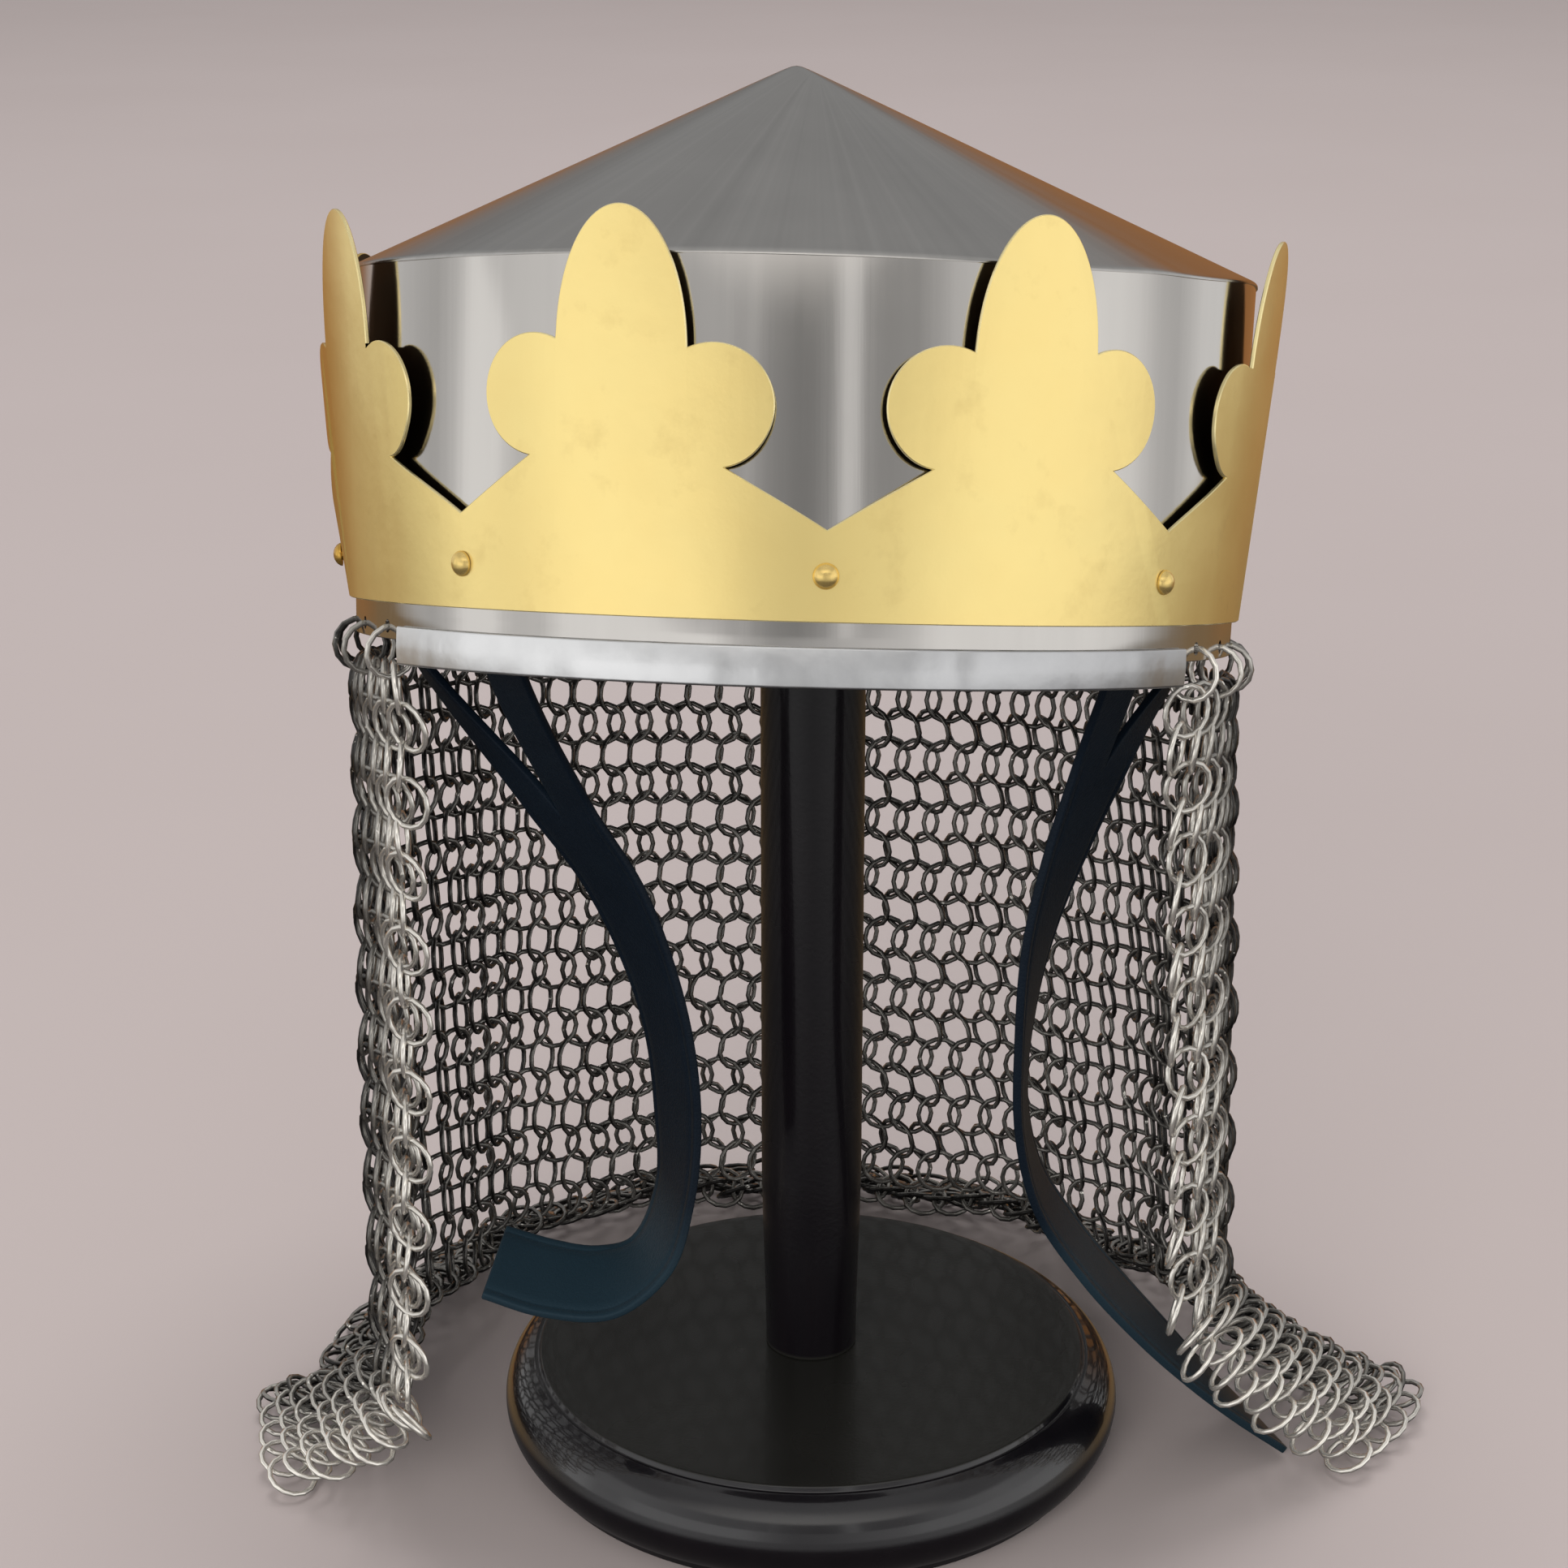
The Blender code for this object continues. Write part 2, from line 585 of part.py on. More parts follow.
def make_mail_curtain(finish):
    """Mail hung round the sides and back: a net of six-sided openings."""
    shape = bmesh.new()
    halves = CURTAIN_CELLS * 2
    knots = {}
    for row in range(CURTAIN_ROWS + 1):
        for half in range(halves + 1):
            angle = CURTAIN_FROM + (CURTAIN_TO - CURTAIN_FROM) * half / halves
            point = curtain_point(angle, row / CURTAIN_ROWS)
            if 0 < row < CURTAIN_ROWS:
                point.z += CURTAIN_ZIGZAG * (0.5 if (half + row) % 2 else -0.5)
            knots[row, half] = shape.verts.new(point)
    for row in range(CURTAIN_ROWS):
        starts = list(range(0, halves, 2))
        if row % 2:
            starts = [-1] + list(range(1, halves, 2))
        for start in starts:
            span = [half for half in range(start, start + 3) if 0 <= half <= halves]
            upper = [knots[row, half] for half in span]
            lower = [knots[row + 1, half] for half in reversed(span)]
            shape.faces.new(upper + lower)
    bmesh.ops.recalc_face_normals(shape, faces=shape.faces)
    cells = shape.faces[:]
    bmesh.ops.inset_individual(shape, faces=cells, thickness=CURTAIN_BAR / 2, use_even_offset=True)
    bmesh.ops.delete(shape, geom=cells, context="FACES_ONLY")
    curtain = add_part("mail_curtain", shape, finish)
    add_modifier(curtain, "SOLIDIFY", thickness=CURTAIN_WALL, offset=0.0)


def make_hangers(finish):
    """Rings through the band's edge and round the curtain's top."""
    for index, angle in enumerate(hanger_angles()):
        shape = bmesh.new()
        sections = []
        for side in range(RING_SIDES):
            turn = math.tau * (side + 0.5) / RING_SIDES
            out = Vector((math.cos(turn), 0.0, math.sin(turn)))
            section = []
            for corner in range(WIRE_SIDES):
                roll = math.tau * corner / WIRE_SIDES
                across = out * (HANGER_RADIUS + RING_WIRE_RADIUS * math.cos(roll))
                section.append(shape.verts.new(across + Vector((0.0, RING_WIRE_RADIUS * math.sin(roll), 0.0))))
            sections.append(section)
        skin(shape, sections, loop=True)
        ring = add_part(f"mail_hanger_{index + 1:02d}", shape, finish, smooth_angle=RING_SMOOTH_ANGLE)
        outward = level_outward(angle)
        ring.location = hole_centre(angle) - Vector((0.0, 0.0, HANGER_RADIUS))
        ring.rotation_euler = (0.0, 0.0, math.atan2(outward.y, outward.x))


# Leather

def smooth_path(points, steps):
    """A smooth curve through the points, with the given number of steps between neighbours."""
    lengths = [(after - before).length for before, after in zip(points, points[1:])]
    slopes = [(after - before) / length for before, after, length in zip(points, points[1:], lengths)]
    tangents = [slopes[0]] + [(before + after) / 2 for before, after in zip(slopes, slopes[1:])] + [slopes[-1]]
    path = []
    for index, length in enumerate(lengths):
        for step in range(steps):
            share = step / steps
            rest = 1.0 - share
            path.append(points[index] * (1.0 + 2.0 * share) * rest ** 2
                        + points[index + 1] * (3.0 - 2.0 * share) * share ** 2
                        + tangents[index] * length * share * rest ** 2
                        - tangents[index + 1] * length * share ** 2 * rest)
    path.append(points[-1])
    return path


def strap_middle(row):
    """A point of the strap's middle line, lifted clear of the table."""
    across, back, up = row[:3]
    height = max(up * RIM_HEIGHT, STRAP_TABLE_LIFT)
    return Vector((across * SKULL_HALF_WIDTH, back * SKULL_HALF_DEPTH, height))


def strap_edges(table):
    """The back edge and the front edge of a strap below its fork."""
    middles = [strap_middle(row) for row in table]
    edges = ([], [])
    for index, row in enumerate(table):
        along = middles[min(index + 1, len(table) - 1)] - middles[max(index - 1, 0)]
        along.normalize()
        heading = math.radians(row[3])
        dip = math.radians(row[4])
        across = Vector((math.cos(heading) * math.cos(dip), math.sin(heading) * math.cos(dip), -math.sin(dip)))
        across = (across - along * across.dot(along)).normalized()
        for edge, side in zip(edges, (-0.5, 0.5)):
            edge.append(middles[index] + across * STRAP_WIDTH * side)
    return edges


def arm_sections(index):
    """The sections of a strap's arm that lie on the band's inner face, above and below its rivet."""
    angle = rivet_angle(index)
    to_front = Vector((math.cos(math.radians(angle)), math.sin(math.radians(angle)), 0.0))
    if math.sin(math.radians(angle)) > 0:
        to_front = -to_front
    outward = oval_normal(angle)
    to_front = (to_front - outward * to_front.dot(outward)).normalized()
    lying = -STEEL_WALL - ARM_INSET - STRAP_WALL / 2
    sections = []
    for height in (RIVET_HEIGHT + STRAP_END_MARGIN, RIVET_HEIGHT - RIVET_TAIL_RADIUS):
        middle = oval_point(angle, height, 0.0) + outward * lying
        half = to_front * ARM_WIDTH / 2
        sections.append((helmet_matrix() @ (middle - half), helmet_matrix() @ (middle + half)))
    return sections


def make_strap(name, table, front_rivet, back_rivet, finish):
    """One forked strap: two riveted arms that run into one free end."""
    back_edge, front_edge = (smooth_path(edge, STRAP_STEPS) for edge in strap_edges(table))
    shape = bmesh.new()
    rows = []
    for back, front in zip(back_edge, front_edge):
        rows.append([shape.verts.new(point) for point in (back, (back + front) / 2, front)])
    for row, following in zip(rows, rows[1:]):
        for column in (0, 1):
            shape.faces.new((row[column], row[column + 1], following[column + 1], following[column]))
    for rivet, columns in ((back_rivet, (0, 1)), (front_rivet, (1, 2))):
        joint = [rows[0][column] for column in columns]
        sides = []
        for side, vert in enumerate(joint):
            heading = rows[1][columns[side]].co - vert.co
            top, low = (section[side] for section in arm_sections(rivet))
            path = smooth_path([top, low, vert.co.copy(), vert.co + heading], ARM_STEPS)
            sides.append([top] + path[ARM_STEPS:ARM_STEPS * 2])
        made = [[shape.verts.new(point) for point in section] for section in zip(*sides)]
        made.append(joint)
        for row, following in zip(made, made[1:]):
            shape.faces.new((row[0], row[1], following[1], following[0]))
    strap = add_part(name, shape, finish)
    add_modifier(strap, "SOLIDIFY", thickness=STRAP_WALL, offset=0.0, use_even_offset=True)
    return strap


def make_part():
    """The whole helmet on its stand."""
    for old in list(bpy.data.objects):
        bpy.data.objects.remove(old)
    steel = material("polished_steel", (0.56, 0.57, 0.56), 1.0, 0.3)
    strip_steel = material("bright_steel", (0.72, 0.73, 0.74), 1.0, 0.28)
    brass = material("satin_brass", (0.83, 0.62, 0.26), 1.0, 0.38)
    mail = material("mail_steel", (0.34, 0.32, 0.30), 1.0, 0.38)
    leather = material("black_leather", (0.012, 0.014, 0.02), 0.0, 0.5)
    lacquer = material("dark_lacquer", (0.02, 0.012, 0.012), 0.0, 0.18)

    helmet = bpy.data.objects.new("helmet_seat", None)
    bpy.context.collection.objects.link(helmet)
    helmet.matrix_world = helmet_matrix()

    make_base(lacquer)
    make_post(lacquer)
    make_skull_band(steel, helmet)
    make_skull_cone(steel, helmet)
    make_brow_strip(strip_steel, helmet)
    make_crown_band(brass, helmet)
    make_rivets(brass, helmet)
    make_mail_curtain(mail)
    make_hangers(mail)
    left = make_strap("strap_left", LEFT_STRAP_TABLE, 7, 6, leather)
    right = make_strap("strap_right", RIGHT_STRAP_TABLE, 1, 2, leather)
    for strap, rivets in ((left, (7, 6)), (right, (1, 2))):
        cut_holes(strap, f"{strap.name}_hole_cutter", rivet_rods(rivets), helmet)


make_part()
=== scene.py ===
# %% [markdown]
# # A crowned helmet on a turned stand
# The helmet is an oval drum of polished steel with a low pointed top. A flared brass crown is
# riveted round it, and a curtain of linked rings hangs from its lower edge. Two black straps hang
# inside, and the whole sits on a dark lacquered stand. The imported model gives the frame: every
# piece below is made in its coordinates, in metres, and takes the place of one of its solids.

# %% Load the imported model
import math
import random

import bmesh
import bpy
from mathutils import Matrix, Vector


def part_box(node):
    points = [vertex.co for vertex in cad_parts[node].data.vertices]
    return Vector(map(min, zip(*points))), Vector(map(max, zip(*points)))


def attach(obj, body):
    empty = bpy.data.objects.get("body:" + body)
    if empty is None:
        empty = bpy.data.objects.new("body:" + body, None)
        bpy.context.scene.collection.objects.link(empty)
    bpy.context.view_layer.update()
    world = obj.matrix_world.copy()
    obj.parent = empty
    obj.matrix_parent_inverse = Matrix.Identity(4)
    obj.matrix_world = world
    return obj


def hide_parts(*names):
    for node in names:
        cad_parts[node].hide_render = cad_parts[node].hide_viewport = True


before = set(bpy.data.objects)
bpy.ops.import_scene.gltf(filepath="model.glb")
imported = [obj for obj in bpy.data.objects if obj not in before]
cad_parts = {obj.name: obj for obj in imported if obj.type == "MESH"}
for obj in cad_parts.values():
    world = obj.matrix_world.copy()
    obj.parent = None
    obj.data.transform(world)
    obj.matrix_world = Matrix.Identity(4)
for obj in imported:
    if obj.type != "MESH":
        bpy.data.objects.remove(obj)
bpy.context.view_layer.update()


def put_in_scene(name, data):
    """An object at the origin for a mesh, a lamp or a camera."""
    thing = bpy.data.objects.new(name, data)
    bpy.context.collection.objects.link(thing)
    return thing


print("solids in the frame:", len(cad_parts))

# %% [markdown]
# ## The camera
# The camera was found by matching the crown's points, the rivets, the rim and the round base with
# the photograph. It stands 0.7 m in front of the helmet and looks down at it by some 20 degrees.

# %% Camera
camera_data = bpy.data.cameras.new("photo_camera")
camera_data.sensor_width = 36.0
camera_data.lens = 70.81
camera = put_in_scene("photo_camera", camera_data)
camera.location = (0.0053, -0.7081, 0.4323)
camera.rotation_euler = (math.pi / 2 - 0.3437, 0.0, 0.0174)
bpy.context.scene.camera = camera
print("camera at", tuple(camera.location))

# %% [markdown]
# ## Shader maths as plain expressions
# A material is a graph of nodes, which is slow to write one link at a time. The class below wraps
# one output socket and answers to +, -, * and so on by adding a Math node. The bench holds the
# tree, and its add method makes any other node from its type, its settings and its inputs.

# %% A socket that takes part in arithmetic
class Value:
    """A number socket that can be added, multiplied and so on like a number."""

    def __init__(self, bench, socket):
        self.bench = bench
        self.socket = socket

    def maths(self, operation, first, second=0.0):
        return self.bench.add("ShaderNodeMath", {"operation": operation}, {0: first, 1: second})

    def clamped(self):
        return self.maths("MINIMUM", self.maths("MAXIMUM", self, 0.0), 1.0)


def give_operator(name, operation):
    """An operator and its reflected form, as in mask - 1 and 1 - mask."""
    setattr(Value, f"__{name}__", lambda value, other: value.maths(operation, value, other))
    setattr(Value, f"__r{name}__", lambda value, other: value.maths(operation, other, value))


for name, operation in (("add", "ADD"), ("sub", "SUBTRACT"), ("mul", "MULTIPLY"), ("truediv", "DIVIDE")):
    give_operator(name, operation)


# %% A bench for building node trees
class Bench:
    """One node tree, with a short way to add nodes."""

    def __init__(self, tree, shader=None):
        self.tree = tree
        self.shader = shader

    def plug(self, socket, value):
        if isinstance(value, Value):
            self.tree.links.new(value.socket, socket)
        elif hasattr(socket.default_value, "__len__") and not hasattr(value, "__len__"):
            socket.default_value = [value] * len(socket.default_value)
        else:
            socket.default_value = value

    def add(self, kind, settings=None, inputs=None, output=0):
        node = self.tree.nodes.new(kind)
        for key, value in (settings or {}).items():
            if key == "stops":
                self.set_stops(node.color_ramp, value)
            else:
                setattr(node, key, value)
        for key, value in (inputs or {}).items():
            self.plug(node.inputs[key], value)
        return Value(self, node.outputs[output])

    def set_stops(self, ramp, stops):
        while len(ramp.elements) < len(stops):
            ramp.elements.new(1.0)
        for element, (position, level) in zip(ramp.elements, stops):
            element.position = position
            element.color = (*level, 1.0) if hasattr(level, "__len__") else (level, level, level, 1.0)

    def mix(self, factor, first, second):
        """A colour between two colours."""
        first, second = [(*c, 1.0) if isinstance(c, tuple) and len(c) == 3 else c for c in (first, second)]
        return self.add("ShaderNodeMix", {"data_type": "RGBA"}, {0: factor, 6: first, 7: second}, output=2)

    def noise(self, vector, scale, detail=2.0, roughness=0.5):
        """Soft noise from 0 to 1."""
        return self.add("ShaderNodeTexNoise", {}, {"Vector": vector, "Scale": scale, "Detail": detail,
                                                   "Roughness": roughness})

    def place(self, vector, scale=(1.0, 1.0, 1.0), rotation=(0.0, 0.0, 0.0), location=(0.0, 0.0, 0.0)):
        """Coordinates moved, turned and stretched."""
        return self.add("ShaderNodeMapping", {}, {"Vector": vector, "Scale": scale, "Rotation": rotation,
                                                  "Location": location})

    def object_place(self):
        return self.add("ShaderNodeTexCoord", output="Object")

    def axis(self, vector, name):
        """One number of a vector: X, Y or Z."""
        return self.add("ShaderNodeSeparateXYZ", {}, {0: vector}, output=name)

    def dress(self, colour, roughness, height=None, strength=0.0, distance=0.0):
        """Feeds the shader's colour, its roughness and, through a bump, its normal."""
        self.plug(self.shader.inputs["Base Color"], colour)
        self.plug(self.shader.inputs["Roughness"], roughness)
        if height is not None:
            bump = self.add("ShaderNodeBump", {}, {"Height": height, "Strength": strength,
                                                   "Distance": distance})
            self.plug(self.shader.inputs["Normal"], bump)


# %% A new material
def new_finish(name, **settings):
    """A Principled material and its bench; the settings are the same all over."""
    finish = bpy.data.materials.new(name)
    finish.use_nodes = True
    shader = finish.node_tree.nodes["Principled BSDF"]
    for key, value in settings.items():
        socket = shader.inputs[key.replace("_", " ")]
        socket.default_value = (*value, 1.0) if isinstance(value, tuple) and len(value) == 3 else value
    return finish, Bench(finish.node_tree, shader)


def tinted(tone, red, green, blue):
    """A colour with its channels scaled, none of them past full."""
    return tuple(min(channel * share, 1.0) for channel, share in zip(tone, (red, green, blue)))


print("node bench ready")

# %% [markdown]
# ## The floor and the light
# A plain pale floor runs far enough back to fill the frame. Polished steel is a mirror, so what it
# shows is the room: upright bright panels to the left and right become the light streaks on the
# drum, and the dark gap behind the camera becomes the dark middle. The room is written as one
# world shader with a ramp of light round the horizon for each of three heights, because many lamps
# would cost render time. Real lamps light only the floor and what is dull, and stay out of
# reflections. The plain Standard view keeps the brass as yellow as it is.

# %% Floor
bpy.context.scene.view_settings.view_transform = "Standard"
floor_finish, bench = new_finish("pale_floor", Specular_IOR_Level=0.1)
speckle = bench.noise(bench.object_place(), 3.0, 3.0)
bench.dress(bench.mix(speckle, (0.385, 0.335, 0.328), (0.405, 0.355, 0.350)), 0.95)
FLOOR_REACH = 9.0
corners = [(x * FLOOR_REACH, y * FLOOR_REACH, 0.0) for x, y in ((-1, -1), (1, -1), (1, 1), (-1, 1))]
floor_mesh = bpy.data.meshes.new("floor")
floor_mesh.from_pydata(corners, [], [(0, 1, 2, 3)])
floor_mesh.materials.append(floor_finish)
floor = put_in_scene("floor", floor_mesh)
floor.visible_glossy = False
print("floor laid")

# %% The room, as light round the horizon
# Each row gives degrees from straight behind the camera, positive to the right, and the light there.
# The high row is what the drum's front shows, the middle row what its sides and the crown show.
# The low row turns warm behind the helmet.
HIGH_ROW = ((-180, 0.32), (-165, 0.33), (-140, 0.50), (-110, 0.70), (-67, 0.90), (-50, 0.74), (-32, 0.58),
            (-19, 0.60), (-16, 0.48), (-13, 0.60), (-9, 0.42), (-3, 0.33), (4, 0.28), (8, 0.35),
            (11, 0.46), (14.5, 0.90), (17, 0.84), (19.5, 0.45), (24, 0.38), (35, 0.42), (40, 0.56),
            (45, 0.70), (60, 0.90), (75, 1.0), (110, 0.70), (140, 0.48), (165, 0.34), (180, 0.32))
MIDDLE_ROW = ((-180, 0.20), (-152, 0.24), (-144, 0.52), (-138, 0.80), (-124, 0.72), (-112, 0.60),
              (-107, 0.56), (-100, 0.72), (-95, 1.08), (-85, 1.08), (-79, 0.76), (-70, 0.80),
              (-62, 1.12), (-22, 1.12), (-14, 0.72), (-4, 0.46), (6, 0.53), (18, 0.70), (32, 0.82),
              (40, 1.08), (84, 1.08), (96, 0.98), (106, 0.66), (112, 0.62), (122, 0.88), (132, 0.86),
              (139, 0.50), (147, 0.24), (180, 0.20))
DARK_AMBER, AMBER, PALE_AMBER = (0.12, 0.07, 0.03), (0.24, 0.15, 0.07), (0.26, 0.18, 0.10)
LOW_ROW = ((-180, DARK_AMBER), (-150, AMBER), (-125, PALE_AMBER), (-100, (0.29, 0.27, 0.24)), (-80, 0.42),
           (-50, 0.66), (-25, 0.54), (0, 0.42), (30, 0.52), (60, 0.66), (80, 0.42),
           (100, (0.31, 0.29, 0.26)), (125, PALE_AMBER), (150, AMBER), (180, DARK_AMBER))
FRONT_SOFTBOX = (1.35, 1.32, 1.28)
UPPER_WALL = (0.46, 0.46, 0.46)
CEILING = (0.55, 0.55, 0.55)
DARK_BELOW = (0.05, 0.045, 0.045)
WARM_BEHIND = (0.33, 0.145, 0.05)
BACKDROP = (0.55, 0.49, 0.48)

world = bpy.data.worlds.new("studio")
bpy.context.scene.world = world
world.use_nodes = True
bench = Bench(world.node_tree)
direction = bench.add("ShaderNodeTexCoord", output="Generated")
across, deep, up = (bench.axis(direction, name) for name in "XYZ")
turn = across.maths("ARCTAN2", across, 0.0 - deep) / math.tau + 0.5


def row_of_light(row):
    """The light of one height as a ramp round the horizon."""
    stops = [((angle + 180) / 360, level) for angle, level in row]
    return bench.add("ShaderNodeValToRGB", {"stops": stops}, {0: turn})


def rising(value, start, end):
    """0 below start, 1 above end."""
    return ((value - start) / (end - start)).clamped()


room = bench.mix(rising(up, -0.18, -0.12), row_of_light(LOW_ROW), row_of_light(MIDDLE_ROW))
room = bench.mix(rising(up, 0.225, 0.262), room, row_of_light(HIGH_ROW))
in_front = rising(0.0 - deep, 0.35, 0.75)
room = bench.mix(rising(up, 0.52, 0.60), room, bench.mix(in_front, UPPER_WALL, FRONT_SOFTBOX))
room = bench.mix(rising(up, 0.80, 0.90), room, CEILING)
room = bench.mix(rising(0.0 - up, 0.34, 0.50), room, DARK_BELOW)
to_right = across.clamped()
warm = rising(deep, 0.70, 0.86) * rising(to_right * 0.7 - up, -0.13, 0.02) * rising(up, -0.30, -0.22)
room = bench.mix(warm, room, WARM_BEHIND)
seen = bench.add("ShaderNodeLightPath", output="Is Camera Ray")
background = world.node_tree.nodes["Background"]
bench.plug(background.inputs["Color"], bench.mix(seen, room, BACKDROP))
background.inputs["Strength"].default_value = 1.0
print("room stops:", len(HIGH_ROW), len(MIDDLE_ROW), len(LOW_ROW))


# %% Soft lamps
def soft_lamp(name, place, aim, size, watts, colour):
    lamp = bpy.data.lights.new(name, "AREA")
    lamp.shape = "DISK"
    lamp.size = size
    lamp.energy = watts
    lamp.color = colour
    stand = put_in_scene(name, lamp)
    stand.location = place
    stand.rotation_euler = (Vector(aim) - Vector(place)).to_track_quat("-Z", "Y").to_euler()
    stand.visible_glossy = False


soft_lamp("overhead", (0.2, 1.3, 4.4), (0.1, 1.0, 0.0), 3.4, 150.0, (1.0, 0.985, 0.98))
soft_lamp("front", (-0.4, -1.7, 0.9), (0.0, 0.0, 0.25), 1.2, 22.0, (1.0, 0.975, 0.94))
print("lamps set")

# %% [markdown]
# ## Where things are
# The helmet is tilted back by 14.8 degrees and leans a little. All its metal follows one oval,
# 207 mm wide and 228 mm deep, so one function gives a point of that oval from an angle round
# the rim, a height above the rim and a distance outwards.

# %% The oval and the helmet's seat
HALF_WIDTH = 0.1035
HALF_DEPTH = 0.114
MEAN_RADIUS = (HALF_WIDTH + HALF_DEPTH) / 2
SKULL_TOP = 0.0914
TOP_SPREAD = 0.0031
TOP_DRAW_IN = 0.002
STEEL_WALL = 0.0012
SEAT_HEIGHT = 0.2099
TILT_BACK = math.radians(14.8)
LEAN = math.radians(1.4)
SEAT = (Matrix.Translation((-0.005, 0.0, SEAT_HEIGHT)) @ Matrix.Rotation(LEAN, 4, "Y")
        @ Matrix.Rotation(-TILT_BACK, 4, "X"))


def oval(angle, height, outset):
    """A point of the oval, in the helmet's own frame; angles in degrees from the brow."""
    share = height / SKULL_TOP
    turn = math.radians(angle)
    return Vector(((HALF_WIDTH + TOP_SPREAD * share + outset) * math.sin(turn),
                   -(HALF_DEPTH - TOP_DRAW_IN * share + outset) * math.cos(turn), height))


def outward(angle):
    """The level direction out of the oval."""
    turn = math.radians(angle)
    return Vector((math.sin(turn) / HALF_WIDTH, -math.cos(turn) / HALF_DEPTH, 0.0)).normalized()


def angle_of(point):
    """The angle round the rim at which a point lies."""
    return math.degrees(math.atan2(point.x / HALF_WIDTH, -point.y / HALF_DEPTH))


def eased(share):
    """A share from 0 to 1 that starts and ends gently."""
    return share * share * (3.0 - 2.0 * share)


def from_table(table, angle):
    """The values of a table at an angle, eased between its rows, whose first column is the angle."""
    for before, after in zip(table, table[1:]):
        if angle <= after[0]:
            break
    part = eased((angle - before[0]) / (after[0] - before[0]))
    return [a + (b - a) * part for a, b in zip(before[1:], after[1:])]


# The drum's top was trimmed by hand: how far it dips below its full height, in millimetres
TOP_DIPS = ((-180.0, 0.0), (-130.0, 0.4), (-85.0, 2.0), (-45.0, 3.2), (30.0, 3.3), (50.0, 2.4),
            (80.0, 0.2), (180.0, 0.0))


def top_dip(angle):
    return from_table(TOP_DIPS, (angle + 180.0) % 360.0 - 180.0)[0] / 1000.0


print("rim of the oval at the brow:", tuple(round(v, 4) for v in SEAT @ oval(0.0, 0.0, 0.0)))


# %% Helpers that make pieces
def finished(name, mesh, finishes, sharp=35.0, place=None):
    """A piece at the origin, its mesh already in place, shaded smooth up to an angle."""
    if isinstance(mesh, bmesh.types.BMesh):
        made = bpy.data.meshes.new(name)
        mesh.to_mesh(made)
        mesh.free()
        mesh = made
    if place is not None:
        mesh.transform(place)
    mesh.shade_smooth()
    mesh.set_sharp_from_angle(angle=math.radians(sharp))
    for finish in finishes:
        mesh.materials.append(finish)
    return put_in_scene(name, mesh)


def rounded(corners, radius, steps=3, closed=True):
    """A profile whose corners are rounded off."""
    points = []
    count = len(corners)
    for index, corner in enumerate(corners):
        here = Vector(corner)
        if not closed and index in (0, count - 1):
            points.append(tuple(here))
            continue
        before = Vector(corners[index - 1]) - here
        after = Vector(corners[(index + 1) % count]) - here
        reach = min(radius, before.length / 2.2, after.length / 2.2)
        start = here + before.normalized() * reach
        end = here + after.normalized() * reach
        for step in range(steps + 1):
            share = step / steps
            points.append(tuple(start.lerp(here, share).lerp(here.lerp(end, share), share)))
    return points


def arc(centre, radii, start, end, steps):
    """Points along an elliptic arc, both ends included; angles in degrees."""
    angles = [math.radians(start + (end - start) * step / steps) for step in range(steps + 1)]
    return [(centre[0] + radii[0] * math.cos(a), centre[1] + radii[1] * math.sin(a)) for a in angles]


def join_rows(shape, rows, round_rows=True, round_points=True):
    """Quads between neighbouring rows of points."""
    pairs = list(zip(rows, rows[1:]))
    if round_rows:
        pairs.append((rows[-1], rows[0]))
    for row, following in pairs:
        last = len(row) if round_points else len(row) - 1
        for step in range(last):
            after = (step + 1) % len(row)
            shape.faces.new((row[step], row[after], following[after], following[step]))


def turned(profile, segments):
    """A shape turned about Z from (radius, height) pairs; a radius of 0 closes a pole."""
    shape = bmesh.new()
    rows = []
    for radius, height in profile:
        if radius == 0.0:
            rows.append([shape.verts.new((0.0, 0.0, height))])
            continue
        angles = [math.tau * step / segments for step in range(segments)]
        rows.append([shape.verts.new((radius * math.cos(a), radius * math.sin(a), height)) for a in angles])
    for above, below in zip(rows, rows[1:]):
        for step in range(segments):
            after = (step + 1) % segments
            corners = [above[step % len(above)], below[step % len(below)],
                       below[after % len(below)], above[after % len(above)]]
            shape.faces.new(list(dict.fromkeys(corners)))
    bmesh.ops.recalc_face_normals(shape, faces=shape.faces)
    return shape


def swept(profile, angles, closed=True):
    """A profile of (outset, height) pairs swept round the oval."""
    shape = bmesh.new()
    rows = [[shape.verts.new(oval(angle, height, outset)) for outset, height in profile] for angle in angles]
    join_rows(shape, rows, round_rows=closed)
    if not closed:
        shape.faces.new(rows[0])
        shape.faces.new(list(reversed(rows[-1])))
    bmesh.ops.recalc_face_normals(shape, faces=shape.faces)
    return shape


def add_modifier(piece, name, kind, **settings):
    modifier = piece.modifiers.new(name, kind)
    for key, value in settings.items():
        setattr(modifier, key, value)
    return modifier


def settled_mesh(piece):
    """The piece's mesh with its modifiers applied."""
    return bpy.data.meshes.new_from_object(piece.evaluated_get(bpy.context.evaluated_depsgraph_get()))


def stands_for(piece, slot, *nodes):
    """The piece rides on the part's one body and takes the place of the named solids."""
    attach(piece, "root")
    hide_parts(*nodes)
    piece.data.calc_loop_triangles()
    print(piece.name, "triangles:", len(piece.data.loop_triangles))


# %% [markdown]
# ## The stand
# The stand is lathe work: a round base with a thin groove and a fat half-round bead, and a plain
# post. A lathe turns a profile, and so does the helper above. The lacquer is almost black. A clear
# coat gives the wet gloss, and a fine dust of tiny bumps breaks up its highlights as on the real,
# slightly orange-peeled varnish. The disc round the post is coloured lighter and mottled, and loses the
# coat.

# %% Lacquer
BASE_HEIGHT = 0.0255


